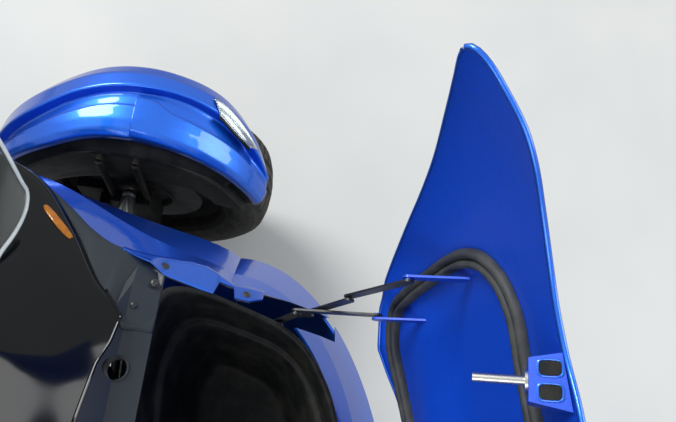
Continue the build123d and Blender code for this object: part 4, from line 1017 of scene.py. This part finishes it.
def seatPiece(node, name):
    # The CAD solid remeshed, smoothed, drawn in and swollen; then channels, long seams and a
    # welt below the top press in along the normal by depth x exp(-(distance / width)^2).
    s = {**seatSet, **seatSet[node]}
    mesh = frame["nodes"][node].data.copy()
    shape = bmesh.new()
    shape.from_mesh(mesh)
    bmesh.ops.remove_doubles(shape, verts=shape.verts, dist=s["merge"])
    bmesh.ops.recalc_face_normals(shape, faces=shape.faces)
    shape.to_mesh(mesh)
    shape.free()
    mesh.materials.clear()
    made = placed(name, mesh)
    remesh = made.modifiers.new("voxels", "REMESH")
    remesh.mode, remesh.voxel_size = "VOXEL", s["voxel"]
    smooth = made.modifiers.new("soften", "SMOOTH")
    smooth.factor, smooth.iterations = s["soften"]
    mesh = applied(made)
    putPoints(mesh, vertexValues(mesh, "co") - vertexValues(mesh, "normal") * s["shrink"])
    swell(made, s)
    finer = made.modifiers.new("finer", "SUBSURF")
    finer.levels = finer.render_levels = 1
    mesh = applied(made)
    points, normals = vertexValues(mesh, "co"), vertexValues(mesh, "normal")
    x, f, z = points[:, 0] * 1000, (axleY - points[:, 1]) * 1000, points[:, 2] * 1000
    up = np.clip((normals[:, 2] - s["topFrom"]) / s["turnOver"], 0, 1)
    aside = np.clip((s["sideTo"] - np.abs(normals[:, 2])) / s["turnOver"], 0, 1)
    inner = np.clip((s["along"] - np.abs(x)) / s["seamFade"], 0, 1)
    bow = s["seamBow"] * (x / s["along"]) ** 2

    def seam(away):
        # exp(-(away / width)^2)
        return np.exp(-(away / s["seamWidth"]) ** 2)

    cut = seam(np.abs(x) - s["along"]) * up
    for at in s["cross"]:
        cut = np.maximum(cut, seam(f - at - bow) * inner * up)
    strip = np.round((f - f.min()) / s["topStep"]).astype(int)
    top = np.full(strip.max() + 1, -np.inf)
    np.maximum.at(top, strip, z)
    cut = np.maximum(cut, seam(z - top[strip] + s["welt"]) * aside)
    putPoints(mesh, points - normals * (cut * s["seamDepth"])[:, None])
    mesh.materials.append(finishes["grainedVinyl"])
    mesh.shade_smooth()
    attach(made, "chassis")
    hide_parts(node)


seatPiece("rider_seat", "riderSeat")
seatPiece("passenger_seat", "passengerSeat")
print("seats made")

# Latch brackets: two framed pockets moulded in the back face of each; a black plate just off the
# face paints the shade inside each pocket
latchSet = {
    "f": 109, "lean": 10 / 96, "low": 804,
    "pockets": ((146, 825), (170, 825)), "halfWidth": 8, "halfHeight": 11.5,
    # scale of the outline, how far the row stands off the face
    "frame": ((1.16, -1), (1.16, 1.5), (1.06, 1.9), (0.98, 1.5), (0.96, -1)),
    "plate": ((0.98, -1), (0.98, 0.5), (0, 0.4)),
}


def pocketParts(s, kind):
    # rounded rectangles |x / a|^4 + |z / b|^4 = 1, one per row, on the bracket's leaning back face
    a = roundAngles(28)
    c, d = (np.sign(v) * np.sqrt(np.abs(v)) for v in (np.cos(a), np.sin(a)))
    scale, proud = np.array(s[kind], float).T[..., None]
    parts = []
    for x, z in s["pockets"]:
        high = z + s["halfHeight"] * d * scale
        f = s["f"] - s["lean"] * (high - s["low"]) - proud
        grid = np.stack([x + s["halfWidth"] * c * scale, f, high], -1)
        parts.append(asPart(opened(grid), False, True))
    return parts


bothSides("latchFrames", pocketParts(latchSet, "frame"), "metallicBluePaint", "blue_paint", "lid")
# black plates in the frames: painted shade for the pockets' dark insides
bothSides("latchPocketShade", pocketParts(latchSet, "plate"), "grainedPolypropylene",
          "black_plastic", "lid")

# Coil springs over the front dampers
springSet = {
    "low": (368, 0, 271), "high": (264, 0, 449), "wire": 5.5, "radius": 33, "turns": 8,
    "perTurn": 22,
}


def springPart(s):
    # a helix about the damper's axis: low + (high - low) t + radius (cos, sin) across it
    low, reach = np.array(s["low"], float), np.subtract(s["high"], s["low"])
    along = unit(reach)
    first = unit(np.cross(along, (0, 1, 0)))
    t = np.linspace(0, 1, s["turns"] * s["perTurn"])[:, None]
    a = t * 2 * math.pi * s["turns"]
    spoke = np.cos(a) * first + np.sin(a) * np.cross(along, first)
    return sweep(low + reach * t + s["radius"] * spoke, ring(s["wire"], 10), along)


bothSides("frontSpring", [springPart(springSet)], "powderCoatedSteel", "frame_steel")

# Side fairings: five raised ribs along each, half sunk in its face
ribSet = {
    "f": (-385, -475, -565), "z": (320, 350, 380, 410, 440), "rise": 8, "half": (4.5, 7),
    "x": ((246, 236.5, 225), (252, 240, 228), (257.5, 243, 229.5), (255, 243, 230),
          (251.5, 242.5, 230)),
}


def ribParts(s):
    # each rib is an oval section swept along the fairing's face, rising a little to the rear
    lift = np.linspace(0, s["rise"], 3)
    oval = ring(s["half"][0], 14, s["half"][1] / s["half"][0])
    lines = [smoothPath(np.stack([x, s["f"], z + lift], -1), 30) for x, z in zip(s["x"], s["z"])]
    return [sweep(line, oval, (0, 0, 1)) for line in lines]


bothSides("fairingRibs", ribParts(ribSet), "satinAbs", "black_plastic")
print("brackets, springs and ribs made")

# Floor, world and lamps
stageSet = {
    "floorSize": 60, "floorColour": "#C9CAC8", "floorSpeck": "#C3C5C4", "speckScale": 3,
    "skyColour": "#DFE3E6", "fillStrength": 0.62,
    "lamps": (  # name, place, aim, size, watts
        ("keyLamp", (2.4, 1.6, 4.2), (0.2, -0.9, 0.5), 2.2, 210),
        ("frontLamp", (1, -4.6, 3.2), (0, -0.6, 0.5), 2.6, 90),
        ("rightLamp", (-3.6, 0.4, 3.4), (0, -0.2, 0.5), 2.8, 70),
    ),
}


def makeStage(s):
    # the sky fills softly, but shows its full tone to the camera and in gloss and glass
    made, tree, where = startMaterial("paleFloor")
    speck = addNode(tree, "TexNoise", {
        "Vector": where, "Scale": s["speckScale"], "Detail": 2})
    tone = addNode(tree, "ValToRGB", {"Fac": speck},
                   ((0.3, s["floorColour"]), (0.7, s["floorSpeck"])))
    matt = addNode(tree, "BsdfPrincipled", {"Base Color": tone, "Roughness": 0.85})
    addNode(tree, "OutputMaterial", {"Surface": matt})
    half = s["floorSize"] / 2
    mesh = bpy.data.meshes.new("floor")
    mesh.from_pydata([(-half, -half, 0), (half, -half, 0), (half, half, 0), (-half, half, 0)], [],
                     [(0, 1, 2, 3)])
    mesh.materials.append(made)
    placed("floor", mesh)

    world = bpy.data.worlds.new("studio")
    bpy.context.scene.world = world
    world.use_nodes = True
    tree = world.node_tree
    tree.nodes.clear()
    ray = addNode(tree, "LightPath").outputs
    seen = addNode(tree, "Math", {0: ray["Is Camera Ray"], 1: ray["Is Transmission Ray"]},
                   operation="MAXIMUM")
    seen = addNode(tree, "Math", {0: seen, 1: ray["Is Glossy Ray"]}, operation="MAXIMUM")
    strength = addNode(tree, "MapRange", {"Value": seen, "To Min": s["fillStrength"]})
    sky = addNode(tree, "Background", {"Color": srgb(s["skyColour"]), "Strength": strength})
    addNode(tree, "OutputWorld", {"Surface": sky})

    for name, place, aim, size, watts in s["lamps"]:
        data = bpy.data.lights.new(name, "AREA")
        data.shape, data.size, data.energy = "DISK", size, watts
        lamp = placed(name, data)
        lamp.location = place
        turn = (Vector(aim) - Vector(place)).to_track_quat("-Z", "Y")
        lamp.rotation_euler = turn.to_euler()


makeStage(stageSet)
print("stage set")
